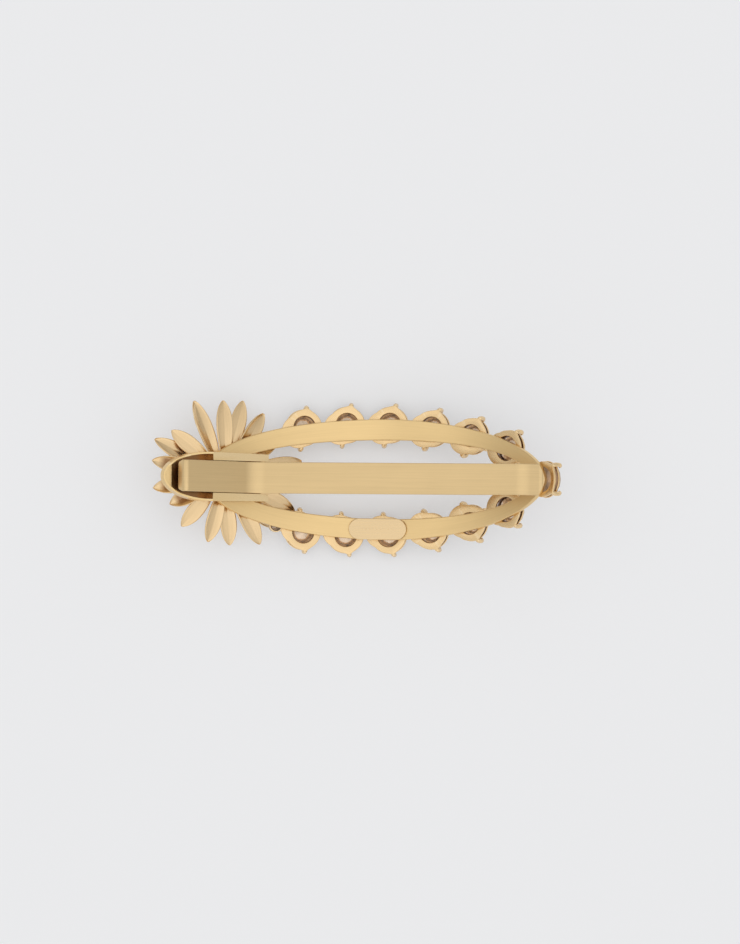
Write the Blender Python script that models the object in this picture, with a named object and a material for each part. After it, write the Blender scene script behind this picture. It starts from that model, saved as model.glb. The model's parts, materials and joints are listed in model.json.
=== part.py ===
"""Floral crystal barrette: a bowed oval frame set with crystals, a petal flower and a sprung lever clasp.

Metres, +Z up. The barrette lies on its crystals with its plain back facing up. X runs along its length
from the clasp to the free tip, and the origin is the bottom centre of its bounding box.

The frame is bent round a cylinder whose axis runs along Y above it. Places on it are given as
(s, t, n): s along the arc from its lowest point, t across, and n towards the cylinder's axis.
"""

import math

import bmesh
import bpy
from mathutils import Matrix, Vector

MM = 0.001

# Bowed frame
BOW_RADIUS = 53.7 * MM
RING_CENTRE_S = 8.2 * MM
RING_LEFT = 42.1 * MM
RING_RIGHT = 39.0 * MM
RING_HALF_WIDTH = 13.1 * MM
RING_TIP_POWER = 1.76
BAND_WIDTH = 4.55 * MM
BAND_THICKNESS = 1.1 * MM
RING_STEPS = 76

# Crystal settings, on the frame's convex side
SETTINGS_PER_SIDE = 6
SETTING_STEP_S = 9.05 * MM
FIRST_SETTING_S = -10.25 * MM
UPPER_INSET = 0.75 * MM
UPPER_INSET_STEP = 0.22 * MM
LOWER_INSET = 0.35 * MM
LOWER_INSET_STEP = 0.38 * MM
TIP_SETTING_S = 45.6 * MM
PRONG_LEAN = math.radians(16)
SIDE_PRONG_TURN = math.radians(11)
BASE_RING_R = 3.9 * MM
BASE_HOLE_R = 2.7 * MM
ROW_HOLE_R = 2.4 * MM
ROW_HOLE_SHIFT = 0.2 * MM
BASE_RING_HEIGHT = 0.5 * MM
RIM_R = 4.0 * MM
RIM_INNER_R = 3.65 * MM
RIM_LOW = 1.15 * MM
RIM_HIGH = 1.55 * MM
PRONG_INNER_R = 3.8 * MM
PRONG_OUTER_R = 4.9 * MM
PRONG_HALF_WIDTH = 0.42 * MM
PRONG_LOW = 0.1 * MM
PRONG_TOP = 2.7 * MM
CLAW_INNER_R = 3.5 * MM
CLAW_OUTER_R = 4.45 * MM
CLAW_LOW = 2.3 * MM
CLAW_STEP = 0.02 * MM
CLAW_TAPER = 0.8
RING_SEGMENTS = 20

# Crystals, measured from the base of the setting
CULET = 0.15 * MM
GIRDLE_LOW = 1.85 * MM
GIRDLE_HIGH = 2.0 * MM
GIRDLE_R = 3.7 * MM
TABLE = 3.0 * MM
TABLE_R = 2.3 * MM
CRYSTAL_SIDES = 16

# Small crystal between the flower and the lower row
FILLER_S = -16.2 * MM
FILLER_T = -10.2 * MM
FILLER_SCALE = 0.37
CUP_R = 1.5 * MM
CUP_HEIGHT = 1.0 * MM
CUP_SEAT = 0.36

# Name plate
PLAQUE_S = 5.75 * MM
PLAQUE_T = -10.75 * MM
PLAQUE_LENGTH = 12.6 * MM
PLAQUE_WIDTH = 4.6 * MM
PLAQUE_THICKNESS = 0.5 * MM
PLAQUE_EDGE = 0.08 * MM

# Clasp housing: (u, v, w) run along it towards the tip, across it, and up from its floor
SEAT_GAP = 0.06 * MM
CLASP_Y = -0.2 * MM
HOUSING_TILT = math.radians(28.35)
HOUSING_HALF_SPAN = math.radians(7.85)
HOUSING_NOSE = 18.36 * MM
HOUSING_TAIL = 5.95 * MM
HOUSING_HALF_WIDTH = 5.3 * MM
HOUSING_TAIL_HALF_WIDTH = 5.05 * MM
HOUSING_FLOOR = 0.6 * MM
NOSE_LENGTH = 10.2 * MM
NOSE_WALL = 0.42 * MM
NOSE_HEIGHT = 1.5 * MM
CHEEK_START = 7.6 * MM
CHEEK_INNER_V = 3.52 * MM
CHEEK_HEIGHT = 4.1 * MM
CHEEK_STEP = 0.05 * MM
NOSE_STEPS = 10

# Hinge
PIN_HEIGHT = 2.1 * MM
PIN_R = 0.7 * MM
PIN_LENGTH = 10.0 * MM
PIN_CLEARANCE = 0.06 * MM
BORE_OVERRUN = 1.0 * MM
EAR_R = 1.36 * MM
EAR_THICKNESS = 0.75 * MM
EAR_OUTER = 3.3 * MM

# Lever arm, from the elbow over the pin
ARM_HALF_WIDTH = 3.4 * MM
ARM_THICKNESS = 0.8 * MM
ARM_OVER_PIN = 1.8 * MM
HANDLE_TILT = -35.0
HANDLE_LENGTH = 14.76 * MM
HANDLE_LIP_TURN = 95.0
HANDLE_LIP_RADIUS = 0.88 * MM
HANDLE_LIP = 1.4 * MM
HANDLE_LIP_TAPER = 0.7 * MM
ELBOW_RADIUS = 5.9 * MM
ARM_TILT = 11.15
ARM_END_TILT = 16.5
ARM_LENGTH = 42.6 * MM
ARM_END_BEND = 4.0 * MM
ARM_END_LENGTH = 8.5 * MM
TIP_TILT = -20.0
TIP_BEND = 3.4 * MM
TIP_LENGTH = 3.25 * MM

# Torsion spring
WIRE_R = 0.2 * MM
COIL_R = 1.0 * MM
COIL_TURNS = 5
COIL_PITCH = 0.55 * MM
COIL_STEPS = 10
SPRING_LEG = 6.5 * MM

# Flower, on the front of the clasp end
FLOWER_CENTRE = Vector((-27.85, 0.2, 4.2)) * MM
FLOWER_TILT = math.radians(20)
FLOWER_DISC_R = 4.6 * MM
FLOWER_DISC_THICKNESS = 0.8 * MM
FLOWER_POST_R = 1.1 * MM
FLOWER_POST_OFFSET = 1.65 * MM
FLOWER_POST_HEIGHT = 2.17 * MM
PETAL_ROOT_R = 3.0 * MM
PETAL_WIDTH = 3.75 * MM
PETAL_WIDEST = 0.6
PETAL_THICKNESS = 0.7 * MM
PETAL_STEPS = 7
PETAL_DROOP = 1.9 * MM

# Each petal is bent by hand: direction, reach, and twist about its own length
PETALS = (
    (11.3, 18.8, 6),
    (33, 16.4, -6),
    (55.6, 16.8, 8),
    (72.4, 17.4, -4),
    (89.8, 16.5, -4),
    (110.6, 17.4, 16),
    (140.4, 15.2, -6),
    (152.7, 16.9, 14),
    (169.2, 16.4, 8),
    (190.6, 15.5, -8),
    (208.2, 13.5, 6),
    (232.2, 14.0, -6),
    (258, 14.7, -10),
    (280, 15.2, 6),
    (301.7, 17.2, 10),
    (319, 16.4, -6),
    (336.9, 18.4, 8),
    (352, 16.6, -5),
)

GOLD = (0.83, 0.62, 0.33, 1.0)
STEEL = (0.45, 0.43, 0.40, 1.0)
CRYSTAL = (0.80, 0.72, 0.68, 1.0)


def start_empty_scene():
    for obj in list(bpy.data.objects):
        bpy.data.objects.remove(obj, do_unlink=True)


def material(name, colour, roughness, metallic):
    mat = bpy.data.materials.new(name)
    mat.use_nodes = True
    shader = mat.node_tree.nodes["Principled BSDF"]
    shader.inputs["Base Color"].default_value = colour
    shader.inputs["Roughness"].default_value = roughness
    shader.inputs["Metallic"].default_value = metallic
    return mat


def gold(name, roughness=0.3):
    return material(name, GOLD, roughness, 1.0)


def crystal_material(name):
    return material(name, CRYSTAL, 0.05, 0.0)


def mesh_object(name, bm, mat, smooth_below=None):
    bmesh.ops.recalc_face_normals(bm, faces=bm.faces)
    mesh = bpy.data.meshes.new(name)
    bm.to_mesh(mesh)
    bm.free()
    if smooth_below is not None:
        mesh.shade_smooth()
        mesh.set_sharp_from_angle(angle=math.radians(smooth_below))
    return object_of(name, mesh, mat)


def object_of(name, mesh, mat):
    obj = bpy.data.objects.new(name, mesh)
    bpy.context.collection.objects.link(obj)
    if mat and not mesh.materials:
        mesh.materials.append(mat)
    obj.parent = bpy.data.objects.get("barrette")
    return obj


def empty(name, location, parent=None):
    obj = bpy.data.objects.new(name, None)
    bpy.context.collection.objects.link(obj)
    obj.location = location
    obj.parent = parent
    return obj


def as_tool(obj):
    """A cutter or an added block: it shapes another piece and isn't a piece itself."""
    obj.hide_render = True
    obj.display_type = "WIRE"
    return obj


def combine(obj, tool, operation):
    modifier = obj.modifiers.new(tool.name, "BOOLEAN")
    modifier.operation = operation
    modifier.solver = "EXACT"
    modifier.object = as_tool(tool)


# Shapes shared by several pieces


def loops_to_solid(bm, loops, close_ends):
    """Joins closed loops of points, in order, with quads. The ends are capped or the last joins the first."""
    rings = [[bm.verts.new(p) for p in loop] for loop in loops]
    count = len(rings[0])
    pairs = list(zip(rings, rings[1:]))
    if not close_ends:
        pairs.append((rings[-1], rings[0]))
    for low, high in pairs:
        for i in range(count):
            j = (i + 1) % count
            bm.faces.new((low[i], low[j], high[j], high[i]))
    if close_ends:
        bm.faces.new(rings[0][::-1])
        bm.faces.new(rings[-1])
    return rings


def circle(radius, height, segments, turn=0.0):
    points = []
    for i in range(segments):
        angle = 2 * math.pi * i / segments + turn
        points.append(Vector((radius * math.cos(angle), radius * math.sin(angle), height)))
    return points


def turned(name, profile, segments, mat, smooth_below=None):
    """A closed (radius, height) profile turned about Z, as a ring with a hole."""
    bm = bmesh.new()
    loops_to_solid(bm, [circle(r, z, segments) for r, z in profile], close_ends=False)
    return mesh_object(name, bm, mat, smooth_below)


def rod(name, radius, low, high, segments, mat=None):
    """A cylinder on the Z axis."""
    bm = bmesh.new()
    loops_to_solid(bm, [circle(radius, low, segments), circle(radius, high, segments)], close_ends=True)
    return mesh_object(name, bm, mat, 40)


def prism(name, outline, low, high, mat=None):
    """An (x, z) outline drawn out along Y."""
    bm = bmesh.new()
    loops_to_solid(bm, [[Vector((x, y, z)) for x, z in outline] for y in (low, high)], close_ends=True)
    return mesh_object(name, bm, mat)


# The bow and the oval


def bow_point(s, t, n=0.0):
    angle = s / BOW_RADIUS
    radius = BOW_RADIUS - n
    return Vector((radius * math.sin(angle), t, BOW_RADIUS - radius * math.cos(angle)))


def bow_frame(s, t, n=0.0, facing_out=False):
    """Axes on the bow: X along it, Z towards its hollow side, or away from it when facing_out."""
    along = Matrix.Rotation(-s / BOW_RADIUS, 4, "Y")
    if facing_out:
        along = along @ Matrix.Rotation(math.pi, 4, "X")
    return Matrix.Translation(bow_point(s, t, n)) @ along


def oval_point(angle, left, right, half_width, power):
    """A point on the oval: an ellipse on the clasp side and a fuller or leaner curve on the tip side."""
    exponent = 1.0
    reach = left
    if math.cos(angle) > 0:
        exponent = 2 / power
        reach = right
    s = math.copysign(abs(math.cos(angle)) ** exponent, math.cos(angle)) * reach
    t = math.copysign(abs(math.sin(angle)) ** exponent, math.sin(angle)) * half_width
    return RING_CENTRE_S + s, t


def outer_half_width(s):
    """Half the frame's width at s."""
    if s < RING_CENTRE_S:
        return RING_HALF_WIDTH * math.sqrt(1 - ((RING_CENTRE_S - s) / RING_LEFT) ** 2)
    share = (s - RING_CENTRE_S) / RING_RIGHT
    return RING_HALF_WIDTH * max(0.0, 1 - share**RING_TIP_POWER) ** (1 / RING_TIP_POWER)


def outer_reach(t):
    """How far along s the tip end of the frame reaches at t."""
    share = abs(t) / RING_HALF_WIDTH
    return RING_CENTRE_S + RING_RIGHT * (1 - share**RING_TIP_POWER) ** (1 / RING_TIP_POWER)


def make_frame_band():
    angles = [2 * math.pi * i / RING_STEPS for i in range(RING_STEPS)]
    outer = [oval_point(a, RING_LEFT, RING_RIGHT, RING_HALF_WIDTH, RING_TIP_POWER) for a in angles]
    inner_size = (RING_LEFT - BAND_WIDTH, RING_RIGHT - BAND_WIDTH, RING_HALF_WIDTH - BAND_WIDTH, 2.0)
    inner = [oval_point(a, *inner_size) for a in angles]
    loops = []
    for outline, n in ((outer, 0.0), (outer, -BAND_THICKNESS), (inner, -BAND_THICKNESS), (inner, 0.0)):
        loops.append([bow_point(s, t, n) for s, t in outline])
    bm = bmesh.new()
    loops_to_solid(bm, loops, close_ends=False)
    return mesh_object("frame_band", bm, gold("band_gold", 0.28), 40)


# Settings and crystals


def edge_lean(s):
    """Angle between the outer edge at s and the length of the bow."""
    step = 0.1 * MM
    return math.atan((outer_half_width(s - step) - outer_half_width(s + step)) / (2 * step))


def setting_places():
    """Name, s, t and turn of each setting. The side rows keep an even step along the bow."""
    places = []
    for number in range(SETTINGS_PER_SIDE):
        s = FIRST_SETTING_S + SETTING_STEP_S * number
        edge = outer_half_width(s)
        turn = edge_lean(s) + PRONG_LEAN
        upper = edge - UPPER_INSET - UPPER_INSET_STEP * number
        lower = edge - LOWER_INSET - LOWER_INSET_STEP * number
        places.append((f"upper_{number + 1}", s, upper, turn))
        places.append((f"lower_{number + 1}", s, -lower, math.pi - turn))
    places.append(("tip", TIP_SETTING_S, 0.0, math.pi / 4))
    return places


def prong_angles(side_turn):
    """Directions of the inner, two side and outer prongs. The side ones can stand closer to the inner one."""
    return (math.pi / 2, side_turn, math.pi - side_turn, -math.pi / 2)


def prong_mesh(name, angle):
    """One prong, upright from the base ring, with its claw turned in over the crystal."""
    loops = []
    sections = (
        (PRONG_INNER_R, PRONG_OUTER_R, 1.0, PRONG_LOW),
        (PRONG_INNER_R, PRONG_OUTER_R, 1.0, CLAW_LOW - CLAW_STEP),
        (CLAW_INNER_R, PRONG_OUTER_R, 1.0, CLAW_LOW),
        (CLAW_INNER_R, CLAW_OUTER_R, CLAW_TAPER, PRONG_TOP),
    )
    for inner, outer, width, height in sections:
        loop = []
        for corner in circle(1.0, 0.0, 6):
            x = (inner + outer) / 2 + (outer - inner) / 2 * corner.x
            loop.append(Vector((x, PRONG_HALF_WIDTH * width * corner.y, height)))
        loops.append(loop)
    turn = Matrix.Rotation(angle, 4, "Z")
    bm = bmesh.new()
    loops_to_solid(bm, [[turn @ p for p in loop] for loop in loops], close_ends=True)
    return mesh_object(name, bm, None)


def base_ring(hole_r, hole_shift):
    """The flat ring under a crystal. Its hole can lie nearer to the outer prong."""
    low, high = 0.0, BASE_RING_HEIGHT
    loops = []
    for radius, height, shift in (
        (hole_r, low, hole_shift),
        (BASE_RING_R, low, 0.0),
        (BASE_RING_R, high, 0.0),
        (hole_r, high, hole_shift),
    ):
        loops.append([p - Vector((0, shift, 0)) for p in circle(radius, height, RING_SEGMENTS)])
    bm = bmesh.new()
    loops_to_solid(bm, loops, close_ends=False)
    return mesh_object("setting_pattern", bm, None)


def make_setting_mesh(side_turn, hole_r, hole_shift):
    """Two rings on four prongs, joined into one mesh that several settings share."""
    rim = ((RIM_INNER_R, RIM_LOW), (RIM_R, RIM_LOW), (RIM_R, RIM_HIGH), (RIM_INNER_R, RIM_HIGH))
    body = base_ring(hole_r, hole_shift)
    combine(body, turned("setting_rim", rim, RING_SEGMENTS, None), "UNION")
    prongs = [prong_mesh(f"prong_{i}", angle) for i, angle in enumerate(prong_angles(side_turn), 1)]
    for prong in prongs:
        combine(body, prong, "UNION")
    mesh = bpy.data.meshes.new_from_object(body.evaluated_get(bpy.context.evaluated_depsgraph_get()))
    for name in ("setting_pattern", "setting_rim", "prong_1", "prong_2", "prong_3", "prong_4"):
        bpy.data.objects.remove(bpy.data.objects[name], do_unlink=True)
    mesh.name = "setting"
    mesh.shade_smooth()
    mesh.set_sharp_from_angle(angle=math.radians(40))
    mesh.materials.clear()
    return mesh


def make_crystal_mesh():
    """A round brilliant: point, girdle and flat table, with kite facets between."""
    bm = bmesh.new()
    point = bm.verts.new((0, 0, CULET))
    half_turn = math.pi / CRYSTAL_SIDES
    low = [bm.verts.new(p) for p in circle(GIRDLE_R, GIRDLE_LOW, CRYSTAL_SIDES)]
    high = [bm.verts.new(p) for p in circle(GIRDLE_R, GIRDLE_HIGH, CRYSTAL_SIDES)]
    table = [bm.verts.new(p) for p in circle(TABLE_R, TABLE, CRYSTAL_SIDES // 2, turn=half_turn)]
    for i in range(CRYSTAL_SIDES):
        j = (i + 1) % CRYSTAL_SIDES
        bm.faces.new((point, low[j], low[i]))
        bm.faces.new((low[i], low[j], high[j], high[i]))
    for k in range(CRYSTAL_SIDES // 2):
        i, j, after = 2 * k, 2 * k + 1, (2 * k + 2) % CRYSTAL_SIDES
        following = table[(k + 1) % len(table)]
        bm.faces.new((high[i], high[j], table[k]))
        bm.faces.new((high[j], following, table[k]))
        bm.faces.new((high[j], high[after], following))
    bm.faces.new(table)
    bmesh.ops.recalc_face_normals(bm, faces=bm.faces)
    mesh = bpy.data.meshes.new("crystal")
    bm.to_mesh(mesh)
    bm.free()
    return mesh


def make_settings(even_mesh, crystal_mesh):
    row_mesh = make_setting_mesh(SIDE_PRONG_TURN, ROW_HOLE_R, ROW_HOLE_SHIFT)
    row_end_mesh = make_setting_mesh(SIDE_PRONG_TURN, BASE_HOLE_R, 0.0)
    for name, s, t, turn in setting_places():
        setting_mesh = row_mesh
        if name == "tip":
            setting_mesh = even_mesh
        elif name.endswith(str(SETTINGS_PER_SIDE)):
            setting_mesh = row_end_mesh
        place = bow_frame(s, t, -BAND_THICKNESS - SEAT_GAP, facing_out=True)
        place = place @ Matrix.Rotation(turn, 4, "Z")
        setting = object_of(f"setting_{name}", setting_mesh.copy(), gold(f"setting_{name}_gold", 0.22))
        crystal = object_of(f"crystal_{name}", crystal_mesh.copy(), crystal_material(f"crystal_{name}_glass"))
        setting.matrix_local = place
        crystal.matrix_local = place


def make_filler(crystal_mesh):
    """A small crystal in a plain open ring under the lower edge of the frame."""
    place = bow_frame(FILLER_S, FILLER_T, -BAND_THICKNESS - SEAT_GAP, facing_out=True)
    shares = ((0.84, 0.0), (1.0, 0.0), (1.0, 1.0), (0.93, 1.0), (0.93, 0.7), (0.84, 0.5))
    cup_profile = [(CUP_R * r, CUP_HEIGHT * z) for r, z in shares]
    cup = turned("filler_setting", cup_profile, 20, gold("filler_setting_gold", 0.22), 40)
    cup.matrix_local = place
    mesh = crystal_mesh.copy()
    lift = CUP_HEIGHT * CUP_SEAT - CULET * FILLER_SCALE
    mesh.transform(Matrix.Translation((0, 0, lift)) @ Matrix.Diagonal((FILLER_SCALE,) * 3 + (1.0,)))
    crystal = object_of("filler_crystal", mesh, crystal_material("filler_crystal_glass"))
    crystal.matrix_local = place


def make_plaque():
    """A flat plate with round ends that bridges the hollow of the band."""
    radius = PLAQUE_WIDTH / 2
    straight = PLAQUE_LENGTH / 2 - radius
    outline = []
    for side in (1, -1):
        for i in range(9):
            angle = math.pi / 2 - math.pi * i / 8
            x = side * (straight + radius * math.cos(angle))
            outline.append(Vector((x, side * radius * math.sin(angle), 0.0)))
    sagitta = BOW_RADIUS - math.sqrt(BOW_RADIUS**2 - (PLAQUE_LENGTH / 2) ** 2)
    low = sagitta + SEAT_GAP
    bm = bmesh.new()
    loops = [[p + Vector((0, 0, low + h)) for p in outline] for h in (0.0, PLAQUE_THICKNESS)]
    loops_to_solid(bm, loops, close_ends=True)
    plaque = mesh_object("plaque", bm, gold("plaque_gold", 0.25), 40)
    plaque.matrix_local = bow_frame(PLAQUE_S, PLAQUE_T)
    bevel = plaque.modifiers.new("edge", "BEVEL")
    bevel.width = PLAQUE_EDGE
    bevel.segments = 1
    bevel.limit_method = "ANGLE"


# Clasp


def clasp_frame():
    """Axes of the housing. Its floor bridges the hollow of the bow, touching it at two places."""
    drop = BOW_RADIUS * math.cos(HOUSING_HALF_SPAN) - SEAT_GAP
    up = Vector((math.sin(HOUSING_TILT), 0.0, math.cos(HOUSING_TILT)))
    foot = Vector((0.0, CLASP_Y, BOW_RADIUS)) - up * drop
    return Matrix.Translation(foot) @ Matrix.Rotation(HOUSING_TILT, 4, "Y")


def pin_centre():
    return clasp_frame() @ Vector((0, 0, PIN_HEIGHT))


def nose_outline(inset):
    """One side of the housing's rounded nose, from its root to its tip, as (u, v)."""
    root = -(HOUSING_NOSE - NOSE_LENGTH)
    points = []
    for i in range(NOSE_STEPS + 1):
        angle = math.pi / 2 * i / NOSE_STEPS
        u = root - (NOSE_LENGTH - inset) * math.sin(angle)
        points.append((u, (HOUSING_HALF_WIDTH - inset) * math.cos(angle)))
    return points


def wall_height(u):
    """The wall is level beside the pin and falls towards the nose."""
    if u >= -CHEEK_START:
        return CHEEK_HEIGHT
    share = (-u - CHEEK_START) / (HOUSING_NOSE - CHEEK_START)
    return CHEEK_HEIGHT + (NOSE_HEIGHT - CHEEK_HEIGHT) * min(1.0, share)


def housing_outlines():
    """Matching outer and inner wall outlines, from one end of the open tail round the nose to the other."""
    outer = [(HOUSING_TAIL, HOUSING_TAIL_HALF_WIDTH), (-CHEEK_START, HOUSING_HALF_WIDTH)]
    inner = [(HOUSING_TAIL, CHEEK_INNER_V), (-CHEEK_START, CHEEK_INNER_V)]
    outer.append((-CHEEK_START - CHEEK_STEP, HOUSING_HALF_WIDTH))
    inner.append((-CHEEK_START - CHEEK_STEP, HOUSING_HALF_WIDTH - NOSE_WALL))
    outer += nose_outline(0.0)
    inner += nose_outline(NOSE_WALL)
    mirrored_outer = [(u, -v) for u, v in reversed(outer[:-1])]
    mirrored_inner = [(u, -v) for u, v in reversed(inner[:-1])]
    return outer + mirrored_outer, inner + mirrored_inner


def make_housing():
    outer, inner = housing_outlines()
    bm = bmesh.new()
    bottom = [bm.verts.new((u, v, 0)) for u, v in outer]
    outer_top = [bm.verts.new((u, v, wall_height(u))) for u, v in outer]
    inner_top = [bm.verts.new((u, v, wall_height(u))) for u, v in inner]
    floor = [bm.verts.new((u, v, HOUSING_FLOOR)) for u, v in inner]
    for i in range(len(outer) - 1):
        for low, high in ((bottom, outer_top), (outer_top, inner_top), (inner_top, floor)):
            bm.faces.new((low[i], low[i + 1], high[i + 1], high[i]))
    bm.faces.new(bottom)
    bm.faces.new(floor)
    ends = (bottom[0], outer_top[0], inner_top[0], floor[0])
    other_ends = (floor[-1], inner_top[-1], outer_top[-1], bottom[-1])
    bm.faces.new(ends + other_ends)
    housing = mesh_object("clasp_housing", bm, gold("housing_gold", 0.25))
    housing.matrix_local = clasp_frame()
    reach = HOUSING_HALF_WIDTH + BORE_OVERRUN
    bore = rod("housing_bore", PIN_R + PIN_CLEARANCE, -reach, reach, 24)
    bore.matrix_local = across(pin_centre())
    combine(housing, bore, "DIFFERENCE")


def across(centre):
    """Places a piece drawn on the Z axis so that it lies along Y."""
    return Matrix.Translation(centre) @ Matrix.Rotation(math.pi / 2, 4, "X")


def make_pin():
    pin = rod("hinge_pin", PIN_R, -PIN_LENGTH / 2, PIN_LENGTH / 2, 24, gold("pin_gold", 0.2))
    pin.matrix_local = across(pin_centre())


def walk(start, heading, legs):
    """Follows straight and curved legs in the XZ plane. A leg is (length, turn in degrees)."""
    x, z = start
    points = [(x, z, heading)]
    for length, turn in legs:
        steps = max(1, math.ceil(abs(turn) / 11))
        for _ in range(steps):
            middle = math.radians(heading + turn / steps / 2)
            x += length / steps * math.cos(middle)
            z += length / steps * math.sin(middle)
            heading += turn / steps
            points.append((x, z, heading))
    return points


def arm_path():
    """The arm's middle line from the handle's lip to the tip, relative to the pin, as (x, z, tilt)."""
    tilt = math.radians(HANDLE_TILT)
    elbow = (-math.sin(tilt) * ARM_OVER_PIN, math.cos(tilt) * ARM_OVER_PIN)
    lip_bend = math.radians(HANDLE_LIP_TURN) * HANDLE_LIP_RADIUS
    handle_legs = ((HANDLE_LENGTH, 0), (lip_bend, HANDLE_LIP_TURN), (HANDLE_LIP, 0))
    handle = walk(elbow, 180 + HANDLE_TILT, handle_legs)
    handle = [(x, z, heading - 180) for x, z, heading in reversed(handle)]
    elbow_turn = ARM_TILT - HANDLE_TILT
    arm_legs = (
        (math.radians(elbow_turn) * ELBOW_RADIUS, elbow_turn),
        (ARM_LENGTH, 0),
        (ARM_END_BEND, ARM_END_TILT - ARM_TILT),
        (ARM_END_LENGTH, 0),
        (TIP_BEND, TIP_TILT - ARM_END_TILT),
        (TIP_LENGTH, 0),
    )
    return handle + walk(elbow, HANDLE_TILT, arm_legs)[1:]


def arm_section(path_point, pull_back=lambda y: 0.0, narrower=0.0):
    """One slice across the arm. Its middle columns keep their place and its sides are pulled back."""
    x, z, heading = path_point
    tilt = math.radians(heading)
    along = Vector((math.cos(tilt), 0, math.sin(tilt)))
    up = Vector((-math.sin(tilt), 0, math.cos(tilt)))
    columns = [(ARM_HALF_WIDTH - narrower) * i / 3 for i in range(-3, 4)]
    top, bottom = [], []
    for y in columns:
        base = Vector((x, y, z)) - along * pull_back(y)
        top.append(base + up * ARM_THICKNESS / 2)
        bottom.append(base - up * ARM_THICKNESS / 2)
    return top + bottom[::-1]


def tip_pull_back(y):
    """The arm's end follows the rounded tip of the frame."""
    return (outer_reach(0.0) - outer_reach(y)) * math.cos(outer_reach(0.0) / BOW_RADIUS)


def make_ear(side):
    """A lug that hangs from the arm and turns on the pin."""
    tilt = math.radians(HANDLE_TILT)
    outline = []
    for i in range(13):
        angle = math.pi + math.pi * i / 12 + tilt
        outline.append((EAR_R * math.cos(angle), EAR_R * math.sin(angle)))
    for along in (EAR_R, -EAR_R):
        x = along * math.cos(tilt) - ARM_OVER_PIN * math.sin(tilt)
        z = along * math.sin(tilt) + ARM_OVER_PIN * math.cos(tilt)
        outline.append((x, z))
    low, high = sorted((side * EAR_OUTER, side * (EAR_OUTER - EAR_THICKNESS)))
    name = "ear_left" if side > 0 else "ear_right"
    return prism(name, outline, low, high)


def make_arm(pivot):
    path = arm_path()
    slices = [arm_section(path[0], narrower=HANDLE_LIP_TAPER)]
    slices += [arm_section(p) for p in path[1:-1]]
    slices.append(arm_section(path[-1], tip_pull_back))
    bm = bmesh.new()
    loops_to_solid(bm, slices, close_ends=True)
    arm = mesh_object("arm", bm, gold("arm_gold", 0.3), 30)
    arm.parent = pivot
    for side in (1, -1):
        ear = make_ear(side)
        ear.parent = pivot
        combine(arm, ear, "UNION")
    reach = ARM_HALF_WIDTH + BORE_OVERRUN
    bore = rod("arm_bore", PIN_R + PIN_CLEARANCE, -reach, reach, 24)
    bore.parent = pivot
    bore.matrix_local = across(Vector((0, 0, 0)))
    combine(arm, bore, "DIFFERENCE")


def make_spring():
    """A wire coil on the pin: one leg presses on the floor and the other on the handle."""
    floor_tilt = -HOUSING_TILT
    handle_tilt = math.radians(HANDLE_TILT)
    start = floor_tilt - math.pi / 2
    sweep = 2 * math.pi * COIL_TURNS - math.pi + (handle_tilt - floor_tilt)
    steps = COIL_STEPS * COIL_TURNS
    points = []
    for i in range(steps + 1):
        angle = start + sweep * i / steps
        y = COIL_PITCH * COIL_TURNS * (i / steps - 0.5)
        points.append(Vector((COIL_R * math.cos(angle), y, COIL_R * math.sin(angle))))
    floor_leg = points[0] - Vector((math.cos(floor_tilt), 0, math.sin(floor_tilt))) * SPRING_LEG
    handle_leg = points[-1] - Vector((math.cos(handle_tilt), 0, math.sin(handle_tilt))) * SPRING_LEG
    points = [floor_leg] + points + [handle_leg]
    curve = bpy.data.curves.new("torsion_spring", "CURVE")
    curve.dimensions = "3D"
    curve.bevel_depth = WIRE_R
    curve.bevel_resolution = 1
    curve.use_fill_caps = True
    spline = curve.splines.new("POLY")
    spline.points.add(len(points) - 1)
    for target, point in zip(spline.points, points):
        target.co = (*point, 1.0)
    spring = object_of("torsion_spring", curve, None)
    curve.materials.append(material("spring_steel", STEEL, 0.3, 1.0))
    spring.location = pin_centre()


# Flower


def flower_frame():
    return Matrix.Translation(FLOWER_CENTRE) @ Matrix.Rotation(FLOWER_TILT, 4, "Y")


def make_flower_disc():
    half = FLOWER_DISC_THICKNESS / 2
    disc = rod("flower_disc", FLOWER_DISC_R, -half, half, 32, gold("flower_disc_gold", 0.3))
    disc.matrix_local = flower_frame()
    post = rod("flower_post", FLOWER_POST_R, 0.0, FLOWER_POST_HEIGHT, 16)
    post.matrix_local = flower_frame() @ Matrix.Translation((-FLOWER_POST_OFFSET, 0, 0))
    combine(disc, post, "UNION")


def petal_half_width(share):
    """A lance shape: narrow root, widest past the middle, and a pointed tip."""
    width = 0.34 + 0.66 * math.sin(math.pi / 2 * min(1.0, share / PETAL_WIDEST))
    if share > PETAL_WIDEST:
        width *= (1 - ((share - PETAL_WIDEST) / (1 - PETAL_WIDEST)) ** 2.2) ** 0.7
    return PETAL_WIDTH / 2 * width


def petal_section(share, reach, lift, twist):
    """One slice across a petal, thickest along its middle."""
    half = petal_half_width(share)
    droop = PETAL_DROOP * share**2.4
    thickness = PETAL_THICKNESS * (1 - 0.35 * share)
    turn = Matrix.Rotation(twist * share, 3, "X")
    centre = Vector((PETAL_ROOT_R + reach * share, 0, lift - droop))
    points = []
    for side in (-1, -0.4, 0.4, 1):
        points.append((side * half, thickness * (0.2 + 0.3 * (1 - side**2))))
    for side in (1, 0.4, -0.4, -1):
        points.append((side * half, -thickness * (0.2 + 0.3 * (1 - side**2))))
    return [centre + turn @ Vector((0, y, z)) for y, z in points]


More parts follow.
